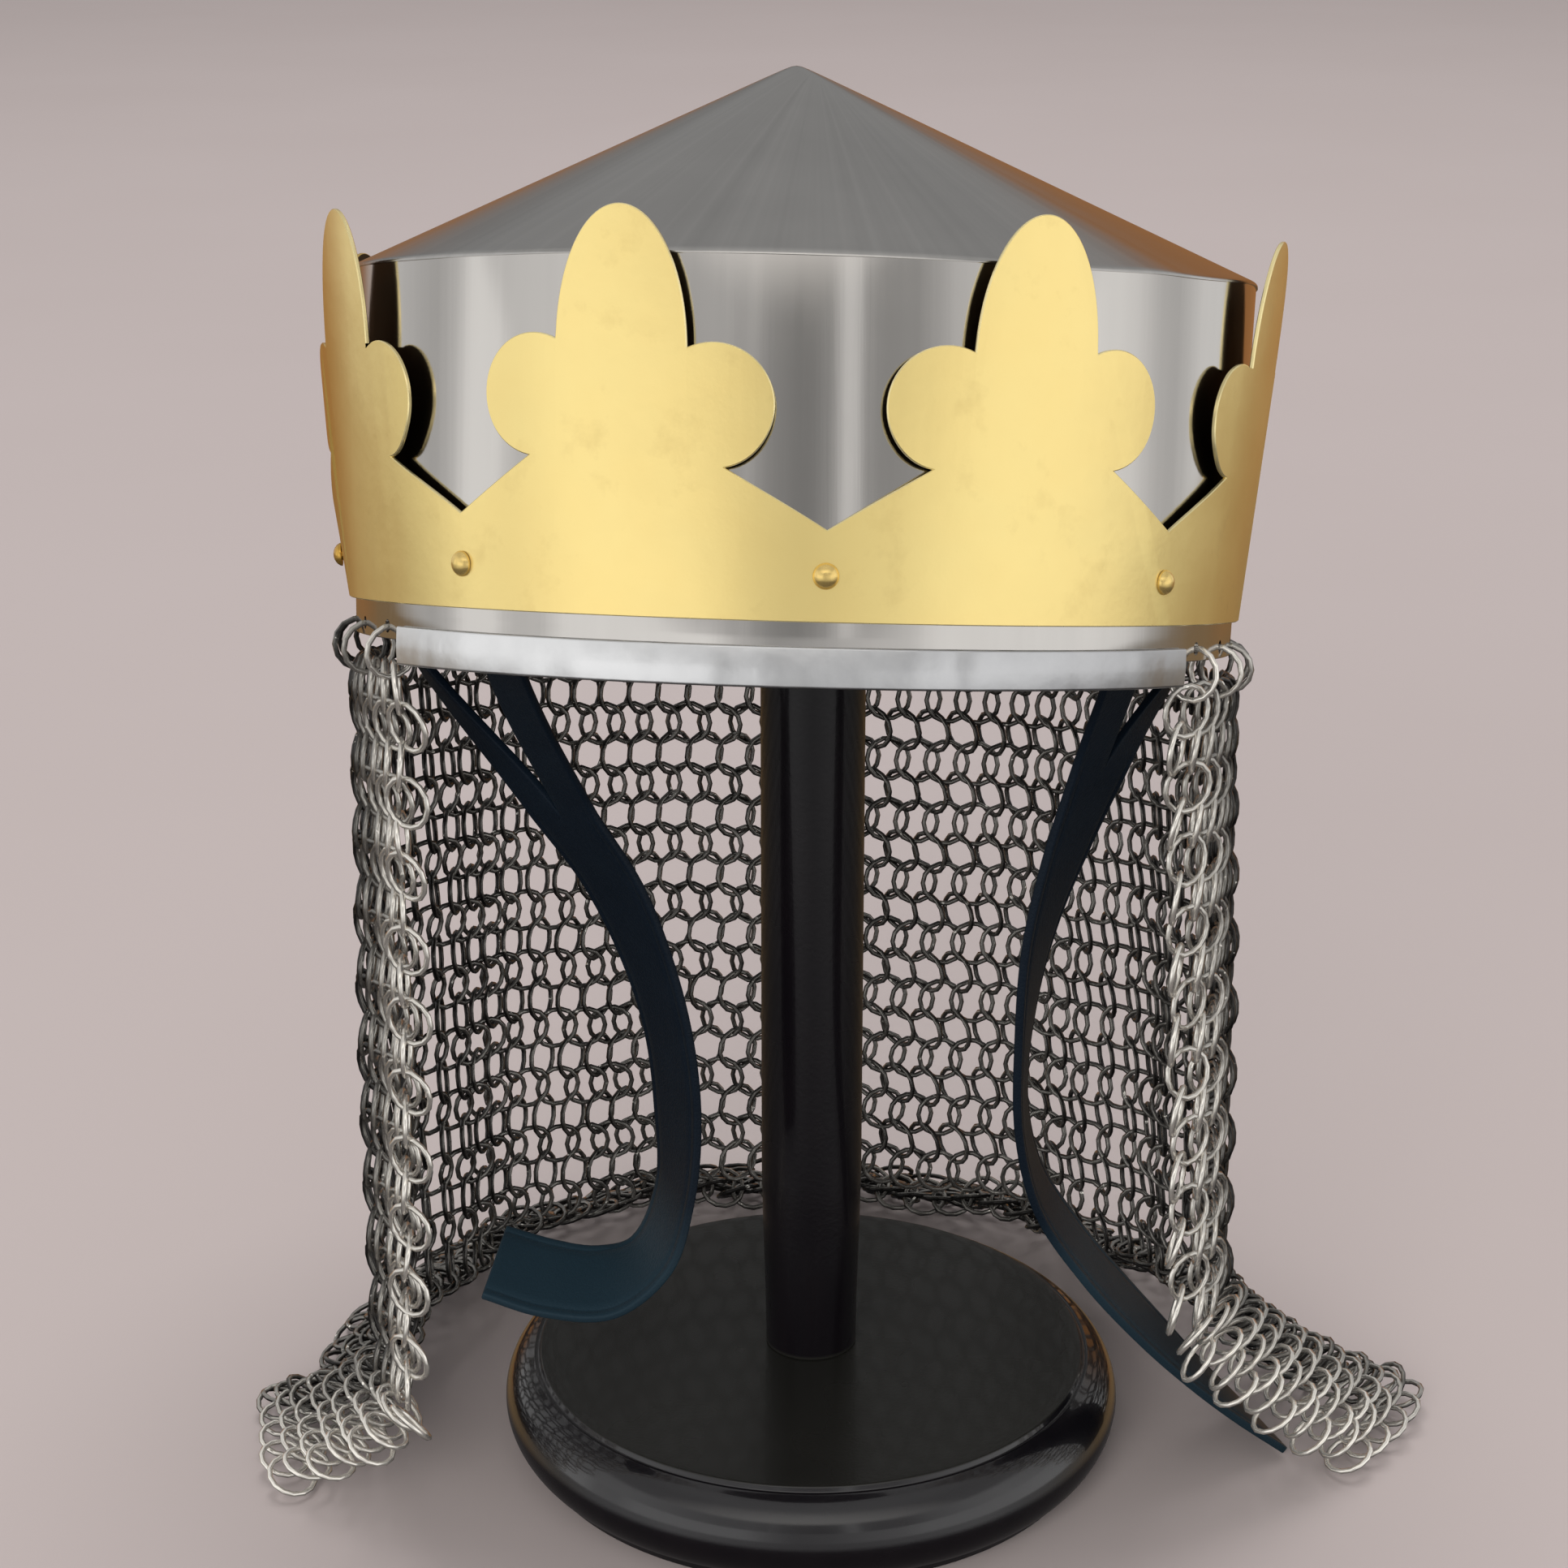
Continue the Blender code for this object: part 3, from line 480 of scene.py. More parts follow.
def make_lacquer():
    finish, bench = new_finish("dark_lacquer_finish", Coat_Roughness=0.07, Coat_IOR=1.5,
                               Specular_IOR_Level=0.3)
    place = bench.object_place()
    height = bench.axis(place, "Z")
    on_post = ((height - (BASE_HEIGHT + 0.0007)) / 0.0006).clamped()
    on_disc = ((height - (BASE_HEIGHT - 0.0005)) / 0.0004).clamped() * (1.0 - on_post)
    bench.plug(bench.shader.inputs["Coat Weight"], 1.0 - on_disc * 0.85 - on_post * 0.75)
    grain = bench.noise(bench.place(place, scale=(14.0, 14.0, 3.0)), 12.0, 4.0)
    dust = bench.noise(place, 900.0, 2.0)
    smear = bench.noise(place, 22.0, 3.0)
    wood = bench.mix(grain, (0.0022, 0.0018, 0.003), (0.006, 0.0045, 0.0058))
    # The disc round the post is coloured lighter and mottled.
    lighter_disc_tone = bench.mix(smear, (0.009, 0.0088, 0.0078), (0.018, 0.0175, 0.0155))
    orange_peel = dust * 0.5 + bench.noise(place, 160.0, 2.0) * 0.5
    bench.dress(bench.mix(on_disc, wood, lighter_disc_tone), 0.20 + smear * 0.14, orange_peel, 0.10, 0.0008)
    return finish


lacquer = make_lacquer()

# %% Base and post
BEAD_CENTRE = (0.066, 0.01275)
BEAD_REACH = (0.0135, 0.01275)
base_profile = [(radius, BASE_HEIGHT) for radius in (0.0, 0.0126, 0.03, 0.055)]
base_profile += rounded([(0.066, BASE_HEIGHT), (0.0702, BASE_HEIGHT), (0.0709, 0.0240), (0.0719, 0.0243)],
                        0.0004, closed=False)
base_profile += arc(BEAD_CENTRE, BEAD_REACH, 62.0, -58.0, 29)
base_profile += [(0.0728, 0.0004), (0.0722, 0.0), (0.0, 0.0)]
stand_base = finished("turned_base", turned(base_profile, 160), [lacquer], sharp=50.0)
stands_for(stand_base, "dark_lacquer", "stand_base")

POST_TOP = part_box("stand_post")[1][2]
POST_RADIUS = 0.0127
post_profile = [(0.0, POST_TOP)]
post_profile += arc((0.0, POST_TOP - POST_RADIUS), (POST_RADIUS, POST_RADIUS), 90.0, 0.0, 8)[1:]
post_profile += [(POST_RADIUS, 0.2), (POST_RADIUS, 0.0755), (0.0124, 0.060), (0.0118, 0.040),
                 (0.0116, 0.0258), (0.008, 0.0256), (0.008, 0.0252), (0.0, 0.0252)]
stand_post = finished("turned_post", turned(post_profile, 96), [lacquer], sharp=50.0)
stands_for(stand_post, "dark_lacquer", "stand_post")

# %% [markdown]
# ## Polished steel
# The drum and the pointed top are sheet steel, rolled, ground and polished. Grinding leaves fine
# upright lines on the drum, and lines that run to the point on the top. Noise stretched along
# those lines changes the roughness and the bump a little, and a slower noise clouds the polish.
# Both noises also streak the colour, partly as grinding marks and partly as painted reflection streaks.
# The drum's upper edge was trimmed by eye and dips at the front, and the top follows it with a
# rolled edge. The top's point stands a little to the left.

# %% Steel finish
def make_steel(name, along, tone=(0.585, 0.56, 0.53), rough=0.10, streaks=0.5):
    """Polished steel; along is drum or top, and says which way the grinding lines run."""
    finish, bench = new_finish(name, Metallic=1.0)
    local = bench.place(bench.object_place(), location=(0.0, 0.0, -SEAT_HEIGHT))
    local = bench.place(local, rotation=(TILT_BACK, 0.0, 0.0))
    if along == "drum":
        lines = bench.place(local, scale=(1.0, 1.0, 0.012))
    else:
        flat = bench.place(local, scale=(1.0, 1.0, 0.0))
        unit = bench.add("ShaderNodeVectorMath", {"operation": "NORMALIZE"}, {0: flat})
        lines = bench.place(unit, scale=(0.1, 0.1, 0.1))
    hair = bench.noise(lines, 2600.0, 2.0, 0.6)
    broad = bench.noise(lines, 260.0, 3.0, 0.55)
    cloud = bench.noise(local, 16.0, 4.0, 0.6)
    mark = bench.noise(local, 120.0, 3.0, 0.6)
    # These colour streaks are partly the steel's grinding marks and clouding, and partly painted reflection
    # streaks like the room's bright and dark bands; the top's are stronger.
    grinding_and_painted_reflection = (broad * 0.5 + cloud * 0.5 - 0.5) * streaks + 0.5
    colour = bench.mix(grinding_and_painted_reflection.clamped(), tinted(tone, 0.80, 0.80, 0.80), tinted(tone, 1.14, 1.14, 1.14))
    roughness = rough + (broad - 0.5) * 0.08 + (cloud - 0.5) * 0.08 + (mark - 0.5) * 0.04
    bench.dress(colour, roughness, hair * 0.06 + broad * 0.94, 0.05, 0.0004)
    return finish


drum_steel = make_steel("drum_steel", "drum")
top_steel = make_steel("top_steel", "top", tone=(0.50, 0.485, 0.465), rough=0.2, streaks=1.8)

# %% The drum
BAND_EDGE = 0.0055
COLUMNS = [step * 1.5 for step in range(240)]
ABOVE_HOLES = 0.0115
band_profile = rounded([(0.0, BAND_EDGE), (0.0, ABOVE_HOLES), (0.0, SKULL_TOP), (-STEEL_WALL, SKULL_TOP),
                        (-STEEL_WALL, ABOVE_HOLES), (-STEEL_WALL, BAND_EDGE)], 0.0003)
drum = swept(band_profile, COLUMNS)
for vert in drum.verts:
    vert.co.z -= top_dip(angle_of(vert.co)) * vert.co.z / SKULL_TOP
skull_band = finished("steel_drum", drum, [drum_steel], place=SEAT)

# %% Holes along the lower edge, one for each hanging ring
CURTAIN_FROM = 55.0
CURTAIN_TO = 305.0
MAIL_COLUMNS = 52
HOLE_UP = 0.0082
HOLE_RADIUS = 0.0015
HOLE_ANGLES = [CURTAIN_FROM + (CURTAIN_TO - CURTAIN_FROM) * (step * 2 + 1) / MAIL_COLUMNS
               for step in range(MAIL_COLUMNS // 2)]
holes = bmesh.new()
for angle in HOLE_ANGLES:
    across_wall = outward(angle).to_track_quat("Z", "Y").to_matrix().to_4x4()
    middle = Matrix.Translation(oval(angle, HOLE_UP, -STEEL_WALL / 2))
    bmesh.ops.create_cone(holes, cap_ends=True, segments=14, radius1=HOLE_RADIUS, radius2=HOLE_RADIUS,
                          depth=STEEL_WALL * 5, matrix=SEAT @ middle @ across_wall)
drill = finished("drill", holes, [])
bore = add_modifier(skull_band, "Holes", "BOOLEAN", object=drill, solver="EXACT")
drilled = settled_mesh(skull_band)
skull_band.modifiers.remove(bore)
drilled.set_sharp_from_angle(angle=math.radians(35.0))
skull_band.data = drilled
bpy.data.objects.remove(drill)
stands_for(skull_band, "polished_steel", "skull_band")
print("holes:", len(HOLE_ANGLES))

# %% The pointed top
CONE_RISE = 0.0495
CONE_SEAT = SKULL_TOP + 0.0003
LIP_DEPTH = 0.005
LIP_PLAY = 0.0003
BLUNT = 0.012
POINT_OFF = -0.0030
# Shares of the way from the point to the edge, and the edge's own roll as (share, height over the seat)
TOP_SHARES = (0.012, 0.025, 0.04, 0.07, 0.11, 0.16, 0.24, 0.34, 0.45, 0.56, 0.67, 0.78, 0.88, 0.95, 0.985)
ROLLED_EDGE = ((0.994, 0.0003), (0.9982, 0.00005), (1.001, -0.00018), (1.0026, -0.00045),
               (1.0031, -0.00085), (0.9992, -0.0009), (0.999, -0.0001))


def top_height(share):
    """Height of the outer skin at a share of the way from the point to the edge, blunted at the point."""
    return CONE_SEAT + CONE_RISE * (1.0 + BLUNT * (1.0 - share) - math.hypot(share, BLUNT))


def make_top():
    shape = bmesh.new()
    drop = STEEL_WALL * 1.1
    lip = (MEAN_RADIUS - STEEL_WALL - LIP_PLAY) / MEAN_RADIUS
    lower = (MEAN_RADIUS - 2 * STEEL_WALL - LIP_PLAY) / MEAN_RADIUS
    section = [(share, top_height(share)) for share in TOP_SHARES]
    section += [(share, CONE_SEAT + height) for share, height in (*ROLLED_EDGE, (lip, -0.0001))]
    section += [(lip, SKULL_TOP - LIP_DEPTH), (lower, SKULL_TOP - LIP_DEPTH),
                (lower, top_height(lower) - drop)]
    section += [(share, top_height(share) - drop) for share in reversed(TOP_SHARES)]
    rows = []
    for share, height in section:
        row = []
        for angle in COLUMNS:
            edge = oval(angle, SKULL_TOP, 0.0)
            row.append(shape.verts.new((edge.x * share + POINT_OFF * (1.0 - share), edge.y * share,
                                        height - top_dip(angle) * share)))
        rows.append(row)
    join_rows(shape, rows, round_rows=False)
    for row, height in ((rows[0], top_height(0.0)), (rows[-1], top_height(0.0) - drop)):
        pole = shape.verts.new((POINT_OFF, 0.0, height))
        for step in range(len(row)):
            shape.faces.new((pole, row[step], row[(step + 1) % len(row)]))
    bmesh.ops.recalc_face_normals(shape, faces=shape.faces)
    return finished("pointed_top", shape, [top_steel], sharp=40.0, place=SEAT)


skull_top = make_top()
stands_for(skull_top, "polished_steel", "skull_cone")

# %% [markdown]
# ## The bright strip on the brow
# A strip of bright steel is folded over the drum's edge, across the brow only, to make a safe
# edge above the face. It is hammered down by hand, so its face is a little uneven. The fold is a
# U-shaped profile swept along the oval, and its face is pushed in and out by a small seeded noise.

# %% Strip
STRIP_END = 55.5
STRIP_TOP = 0.0085
STRIP_WALL = 0.0013
LUMPS = 46


def make_strip():
    finish, bench = new_finish("strip_steel", Metallic=1.0)
    place = bench.object_place()
    dent = bench.noise(place, 55.0, 3.0, 0.6)
    smear = bench.noise(place, 190.0, 3.0, 0.6)
    right = bench.axis(place, "X")
    # Darker towards the strip's right end, and mottled by a random smear.
    lighter_leftward = (0.58 - right * 8.0).clamped() * 0.7 + smear * 0.3
    bench.dress(bench.mix(lighter_leftward, (0.42, 0.42, 0.43), (0.93, 0.93, 0.93)), 0.24 + smear * 0.18,
                dent * 0.8 + smear * 0.2, 0.30, 0.0012)
    inner = -STEEL_WALL - STRIP_WALL
    profile = rounded([(0.0003, STRIP_TOP), (STRIP_WALL, STRIP_TOP), (STRIP_WALL + 0.0002, 0.004),
                       (STRIP_WALL, 0.0), (inner, 0.0), (inner, STRIP_TOP), (inner + 0.001, STRIP_TOP),
                       (inner + 0.001, 0.0012), (0.0003, 0.0012)], 0.0006)
    angles = [-STRIP_END + 2.0 * STRIP_END * step / 148 for step in range(149)]
    shape = swept(profile, angles, closed=False)
    random.seed(4)
    lumps = [(random.uniform(-55, 55), random.uniform(0.8, 2.5), random.uniform(-0.00022, 0.00022))
             for _ in range(LUMPS)]
    for vert in shape.verts:
        angle = angle_of(vert.co)
        push = sum(size * math.exp(-((angle - middle) / width) ** 2) for middle, width, size in lumps)
        on_face = math.hypot(vert.co.x / HALF_WIDTH, vert.co.y / HALF_DEPTH) > 1.006
        if on_face:
            vert.co += outward(angle) * push
    return finished("brow_edge", shape, [finish], sharp=40.0, place=SEAT)


brow = make_strip()
stands_for(brow, "bright_steel", "brow_strip")

# %% [markdown]
# ## The brass crown
# The crown is one strip of brass sheet, cut to eight trefoil points and rolled into an oval that
# flares towards the top. It is drawn flat first: half a point is a shoulder, a round side lobe
# and a tall round tip, and the half is mirrored and repeated. The flat shape gets a narrow
# chamfer along its cut edge, which catches the light as a real sawn and filed edge does. It is
# then sliced into narrow columns and every point is wrapped onto the flared oval. Four points that
# show are a little off the pattern, as hand sawing leaves them, and the band hugs the drum at the
# front and springs open at the sides. The face towards the drum is painted nearly black as painted
# shade, so the gap behind the points and its reflection in the drum read dark.

# %% Brass
def make_brass(name, tone, rough):
    finish, bench = new_finish(name, Metallic=0.86, Specular_IOR_Level=0.5)
    place = bench.object_place()
    rub = bench.noise(place, 210.0, 3.0, 0.6)
    cloud = bench.noise(place, 24.0, 4.0, 0.6)
    stain = bench.noise(place, 75.0, 5.0, 0.65)
    speck = bench.add("ShaderNodeTexVoronoi", {}, {"Vector": place, "Scale": 120.0})
    spots = (1.0 - (speck - 0.05) / 0.05).clamped() * ((cloud - 0.55) * 8.0).clamped()
    tarnish = ((stain - 0.56) * 6.0).clamped() * 0.35 + spots * 0.45
    colour = bench.mix(cloud, tinted(tone, 0.93, 0.90, 0.80), tinted(tone, 1.06, 1.06, 1.06))
    colour = bench.mix(tarnish * 0.5, colour, tinted(tone, 0.54, 0.46, 0.36))
    across, upward = bench.axis(place, "X"), bench.axis(place, "Z")
    # Painted reflection: towards the crown's far left end the brass is deepened to a saturated orange,
    # standing in for the warm reflection seen there at a grazing angle.
    painted_left_end_reflection = ((0.0 - across - 0.103) / 0.008).clamped()
    colour = bench.mix(painted_left_end_reflection * 0.75, colour, tinted(tone, 0.66, 0.46, 0.12))
    roughness = rough + (cloud - 0.5) * 0.12 + (rub - 0.5) * 0.05 + tarnish * 0.08
    bend = ((across - 0.052 - (0.330 - upward) * 0.25) / 0.0035).clamped()
    height = stain * 0.10 + bench.noise(place, 14.0, 2.0) * 0.90 + eased(bend) * 0.5
    bench.dress(colour, roughness, height, 0.30, 0.004)
    return finish


brass = make_brass("satin_brass_finish", (1.0, 0.78, 0.33), 0.31)
cut_brass = make_brass("cut_edge_brass", (1.0, 0.84, 0.46), 0.28)
rivet_brass = make_brass("rivet_brass", (0.86, 0.64, 0.24), 0.25)
# Painted shade: the crown's inner face is near-black brass, standing in for the shadow in the narrow gap
# between crown and drum.
shaded_inner_brass = make_brass("painted_shade_inner_brass", (0.055, 0.036, 0.016), 0.55)

# %% Outline of the points
CROWN_TURN = 3.8
CROWN_WALL = 0.001
CROWN_EDGE = 0.0135
CROWN_GAP = 0.0005
CROWN_FLARE = 0.084
HUGGING_FLARE = 0.045
# Degrees from the brow at which the crown leaves the drum, and over which it does so
OPENS_FROM = 60.0
OPENS_OVER = 30.0
LEFT_SPRING = 0.0022
NOTCH = 0.034
SHOULDER = 0.022
# A round lobe as its distance out, its height and its radius, and the tip as its half width, foot and rise
LOBE = (0.0199, 0.0591, 0.0127)
TIP = (0.0145, 0.0672, 0.0305)
POINTS = 8
POINT_STEP = 360.0 / POINTS
# The saw wandered a little on the points that show: the point, its turn away in degrees, then in
# millimetres the extra height of its tip, the drop of its left and its right lobe, and the extra depth
# of the notch before it
HAND_CUT = {
    7: (-0.7, -0.6, 0.5, 2.3, 0.2),
    0: (0.6, 0.0, 1.5, 0.4, 1.7),
    6: (-3.4, 2.7, 0.0, 1.2, 0.0),
    1: (2.7, 2.4, 0.5, 0.0, 0.0),
}
AS_DRAWN = (0.0, 0.0, 0.0, 0.0, 0.0)


def half_point(higher, drop, deeper):
    """Half a crown point from the notch to the tip, as (distance from its middle, height)."""
    half_pitch = math.radians(POINT_STEP / 2) * MEAN_RADIUS
    start = -math.degrees(math.acos((SHOULDER - LOBE[0]) / LOBE[2]))
    end = math.degrees(math.acos((TIP[0] - LOBE[0]) / LOBE[2]))
    lobe = arc((LOBE[0], LOBE[1] - drop), (LOBE[2], LOBE[2]), start, end, 34)
    tall = TIP[2] + higher
    rise = math.degrees(math.asin((lobe[-1][1] - TIP[1]) / tall))
    tip = arc((0.0, TIP[1]), (TIP[0], tall), rise, 90.0, 26)
    return [(half_pitch, NOTCH - deeper)] + lobe + tip[1:]


def whole_outline():
    """The cut edge all the way round, left to right, as (distance along the strip, height)."""
    outline = []
    pitch = math.radians(POINT_STEP) * MEAN_RADIUS
    for point in range(POINTS):
        middle = pitch * (point + 0.5)
        higher, left_drop, right_drop, deeper = [v / 1000.0 for v in HAND_CUT.get(point, AS_DRAWN)[1:]]
        left, right = half_point(higher, left_drop, deeper), half_point(higher, right_drop, 0.0)
        outline += [(middle - out, height) for out, height in left]
        outline += [(middle + out, height) for out, height in reversed(right[1:-1])]
    return outline, pitch * POINTS


def crown_outset(angle, height):
    """How far the crown stands off the drum: it hugs the front and springs open round the sides."""
    angle = (angle + 180.0) % 360.0 - 180.0
    opening = min(max((abs(angle) - OPENS_FROM) / OPENS_OVER, 0.0), 1.0)
    spring = min((height - CROWN_EDGE) / 0.015, 1.0) * math.exp(-((angle + 95.0) / 32.0) ** 2)
    flare = HUGGING_FLARE + (CROWN_FLARE - HUGGING_FLARE) * opening
    return CROWN_GAP + flare * (height - CROWN_EDGE) + LEFT_SPRING * spring


def crown_angle(share, height):
    """Where a share of the strip comes round the drum; above the notches each point has its own turn."""
    own_turn = HAND_CUT.get(int(share * POINTS) % POINTS, AS_DRAWN)[0]
    above = min(max((height - NOTCH) / 0.018, 0.0), 1.0)
    return CROWN_TURN + 360.0 * share + own_turn * eased(above)


# %% Crown
CHAMFER = 0.00022
CROWN_SLICES = 240
# The outer face has the first of the crown's three finishes
CUT_EDGE = 1
INNER_FACE = 2


def inset(points, around):
    """The cut edge moved into the sheet by the chamfer; the strip's end joins its start."""
    turn = Vector((around, 0.0))
    line = [Vector(point) for point in points]
    line = [line[-1] - turn] + line + [line[0] + turn]
    moved = []
    for before, here, after in zip(line, line[1:], line[2:]):
        first = (here - before).normalized()
        second = (after - here).normalized()
        normal = Vector((first.y + second.y, -first.x - second.x)).normalized()
        spread = max(normal.dot(Vector((first.y, -first.x))), 0.35)
        moved.append(here + normal * CHAMFER / spread)
    return moved


def flat_crown(outline, around):
    """The crown's strip before it is rolled: two faces, a chamfered cut edge and a straight lower edge."""
    shape = bmesh.new()
    rows = []
    depths = (0.0, CHAMFER, CROWN_WALL - CHAMFER, CROWN_WALL)
    inner_line = inset(outline, around)
    for line, depth in zip((inner_line, outline, outline, inner_line), depths):
        row = [shape.verts.new((x, height, depth)) for x, height in line]
        row.append(shape.verts.new((line[0][0] + around, line[0][1], depth)))
        rows.append(row)
    lifts = (CHAMFER, 0.0, 0.0, CHAMFER)
    posts = [[shape.verts.new((around * point / POINTS, CROWN_EDGE + lift, depth))
              for lift, depth in zip(lifts, depths)] for point in range(POINTS + 1)]
    for row, following in zip(rows, rows[1:]):
        for index in range(len(outline)):
            face = shape.faces.new((row[index], row[index + 1], following[index + 1], following[index]))
            face.material_index = CUT_EDGE
    per_point = len(outline) // POINTS
    for point in range(POINTS):
        span = slice(point * per_point, (point + 1) * per_point + 1)
        left, right = posts[point], posts[point + 1]
        inside = shape.faces.new(rows[0][span] + [right[0], left[0]])
        inside.material_index = INNER_FACE
        shape.faces.new(list(reversed(rows[3][span])) + [left[3], right[3]])
        for level in range(3):
            face = shape.faces.new((left[level], right[level], right[level + 1], left[level + 1]))
            face.material_index = CUT_EDGE
    return shape


def make_crown():
    outline, around = whole_outline()
    shape = flat_crown(outline, around)
    for column in range(1, CROWN_SLICES):
        everything = shape.verts[:] + shape.edges[:] + shape.faces[:]
        bmesh.ops.bisect_plane(shape, geom=everything, plane_co=(around * column / CROWN_SLICES, 0.0, 0.0),
                               plane_no=(1.0, 0.0, 0.0), dist=1e-6)
    for vert in shape.verts:
        x, height, wall = vert.co
        angle = crown_angle(x / around, height)
        vert.co = oval(angle, height, crown_outset(angle, height) + wall)
    bmesh.ops.remove_doubles(shape, verts=shape.verts, dist=1e-6)
    bmesh.ops.recalc_face_normals(shape, faces=shape.faces)
    return finished("brass_crown", shape, [brass, cut_brass, shaded_inner_brass], sharp=30.0, place=SEAT)


crown = make_crown()
stands_for(crown, "satin_brass", "crown_band")

# %% [markdown]
# ## Rivets
# Eight brass rivets sit under the notches, and four of them also hold the straps. One rivet is
# turned like a little mushroom, with a flat tail inside. Geometry Nodes put a copy on each of
# eight points that carry the axis of their place, and a named input sets their size.

# %% Trees that put copies on points
def new_tree(name, **kinds):
    """A tree with named inputs, its bench, and the inputs as values; kinds are Object, Float or Int."""
    tree = bpy.data.node_groups.new(name, "GeometryNodeTree")
    kinds = {"Points": "Geometry", **{key.replace("_", " "): kind for key, kind in kinds.items()}}
    for key, kind in kinds.items():
        tree.interface.new_socket(key, in_out="INPUT", socket_type="NodeSocket" + kind)
    tree.interface.new_socket("Copies", in_out="OUTPUT", socket_type="NodeSocketGeometry")
    bench = Bench(tree)
    given = tree.nodes.new("NodeGroupInput")
    return tree, bench, {key: Value(bench, given.outputs[key]) for key in kinds}


def put_copies(bench, points, instance, size, finish):
    """The instance on every point, turned by its Euler attribute, made real and dressed."""
    turn = bench.add("GeometryNodeInputNamedAttribute", {"data_type": "FLOAT_VECTOR"}, {"Name": "turn"})
    spin = bench.add("FunctionNodeEulerToRotation", {}, {0: turn})
    placed = bench.add("GeometryNodeInstanceOnPoints", {}, {
        "Points": points, "Instance": instance, "Rotation": spin, "Scale": size})
    real = bench.add("GeometryNodeRealizeInstances", {}, {0: placed})
    dressed = bench.add("GeometryNodeSetMaterial", {}, {"Geometry": real, "Material": finish})
    result = bench.tree.nodes.new("NodeGroupOutput")
    bench.plug(result.inputs["Copies"], dressed)


def run_tree(name, points, attributes, tree, inputs):
    """A plain mesh from a tree run on a cloud of points."""
    cloud = bpy.data.meshes.new(name)
    cloud.from_pydata([tuple(p) for p in points], [], [])
    for key, (kind, values) in attributes.items():
        layer = cloud.attributes.new(key, kind, "POINT")
        if kind == "FLOAT_VECTOR":
            layer.data.foreach_set("vector", [v for value in values for v in value])
        else:
            layer.data.foreach_set("value", values)
    carrier = put_in_scene(name, cloud)
    modifier = add_modifier(carrier, "Copies", "NODES", node_group=tree)
    sockets = {item.name: item.identifier for item in tree.interface.items_tree if item.in_out == "INPUT"}
    for key, value in inputs.items():
        modifier[sockets[key]] = value
    bpy.context.view_layer.update()
    made = settled_mesh(carrier)
    carrier.modifiers.remove(modifier)
    bpy.data.objects.remove(carrier)
    made.name = name
    return made


# %% Rivets
RIVET_UP = 0.023
RIVET_ANGLES = [CROWN_TURN + POINT_STEP * index for index in range(POINTS)]
rivet_profile = [(0.0, 0.00205), (0.0006, 0.00202), (0.0012, 0.00186), (0.0018, 0.00155), (0.0023, 0.00112),
                 (0.00265, 0.0006), (0.00275, 0.00025), (0.0027, 0.00005), (0.0013, 0.0), (0.0013, -0.0032),
                 (0.0024, -0.0032), (0.0023, -0.0039), (0.0, -0.0041)]
rivet_master = finished("rivet_master", turned(rivet_profile, 28), [rivet_brass], sharp=60.0)
seats, turns = [], []
for angle in RIVET_ANGLES:
    axis = (outward(angle) - Vector((0.0, 0.0, CROWN_FLARE))).normalized()
    seats.append(SEAT @ oval(angle, RIVET_UP, crown_outset(angle, RIVET_UP) + CROWN_WALL))
    turns.append((SEAT.to_3x3() @ axis).to_track_quat("Z", "Y").to_euler())
rivet_tree, bench, wanted = new_tree("rivets_on_points", Rivet="Object", Rivet_size="Float")
rivet_shape = bench.add("GeometryNodeObjectInfo", {}, {"Object": wanted["Rivet"]}, output="Geometry")
put_copies(bench, wanted["Points"], rivet_shape, wanted["Rivet size"], rivet_brass)
rivets_mesh = run_tree("brass_rivets", seats, {"turn": ("FLOAT_VECTOR", turns)}, rivet_tree,
                       {"Rivet": rivet_master, "Rivet size": 1.0})
bpy.data.objects.remove(rivet_master)
rivets = finished("brass_rivets", rivets_mesh, [], sharp=60.0)
stands_for(rivets, "satin_brass", *[f"crown_rivet_{index + 1}" for index in range(POINTS)])

# %% [markdown]
# ## The mail
# Each ring passes through four others: two in the row above and two in the row below. A flat
# hanging mail has its rings some nine millimetres apart, with every other row shifted by half
# that and turned the other way, so the wires pass each other without touching. First comes
# the sheet that the mail follows: straight down from the rim, over a fold, and out along the
# table. Ring centres are laid on it row by row, at the real spacing. Where the sheet is shorter,
# at the back, the rows that lie on the table are pushed together and the rings stand up, as loose
# mail bunches when it is set down. At the two front corners the lying rings lean forward.

# %% The sheet that the mail follows
HEM_RISE = 0.06
HEM_REACH = 0.08
HEM_LEAN = 0.01
LYING_HEIGHT = 0.0022
# Angle round the rim, shares of HEM_RISE, HEM_LEAN and HEM_REACH, and the heading of the splay
HEM_TABLE = (
    (55.0, 1.00, 1.0, 0.80, 125.0),
    (72.0, 0.95, 0.8, 0.86, 122.0),
    (95.0, 0.60, 0.5, 0.42, 112.0),
    (130.0, 0.30, 0.1, 0.35, 138.0),
    (180.0, 0.22, 0.0, 0.38, 180.0),
    (232.0, 0.30, 0.0, 0.34, 228.0),
    (268.0, 0.38, 0.0, 0.32, 250.0),
    (288.0, 0.50, 0.3, 0.60, 230.0),
    (305.0, 0.58, 0.9, 0.55, 238.0),
)


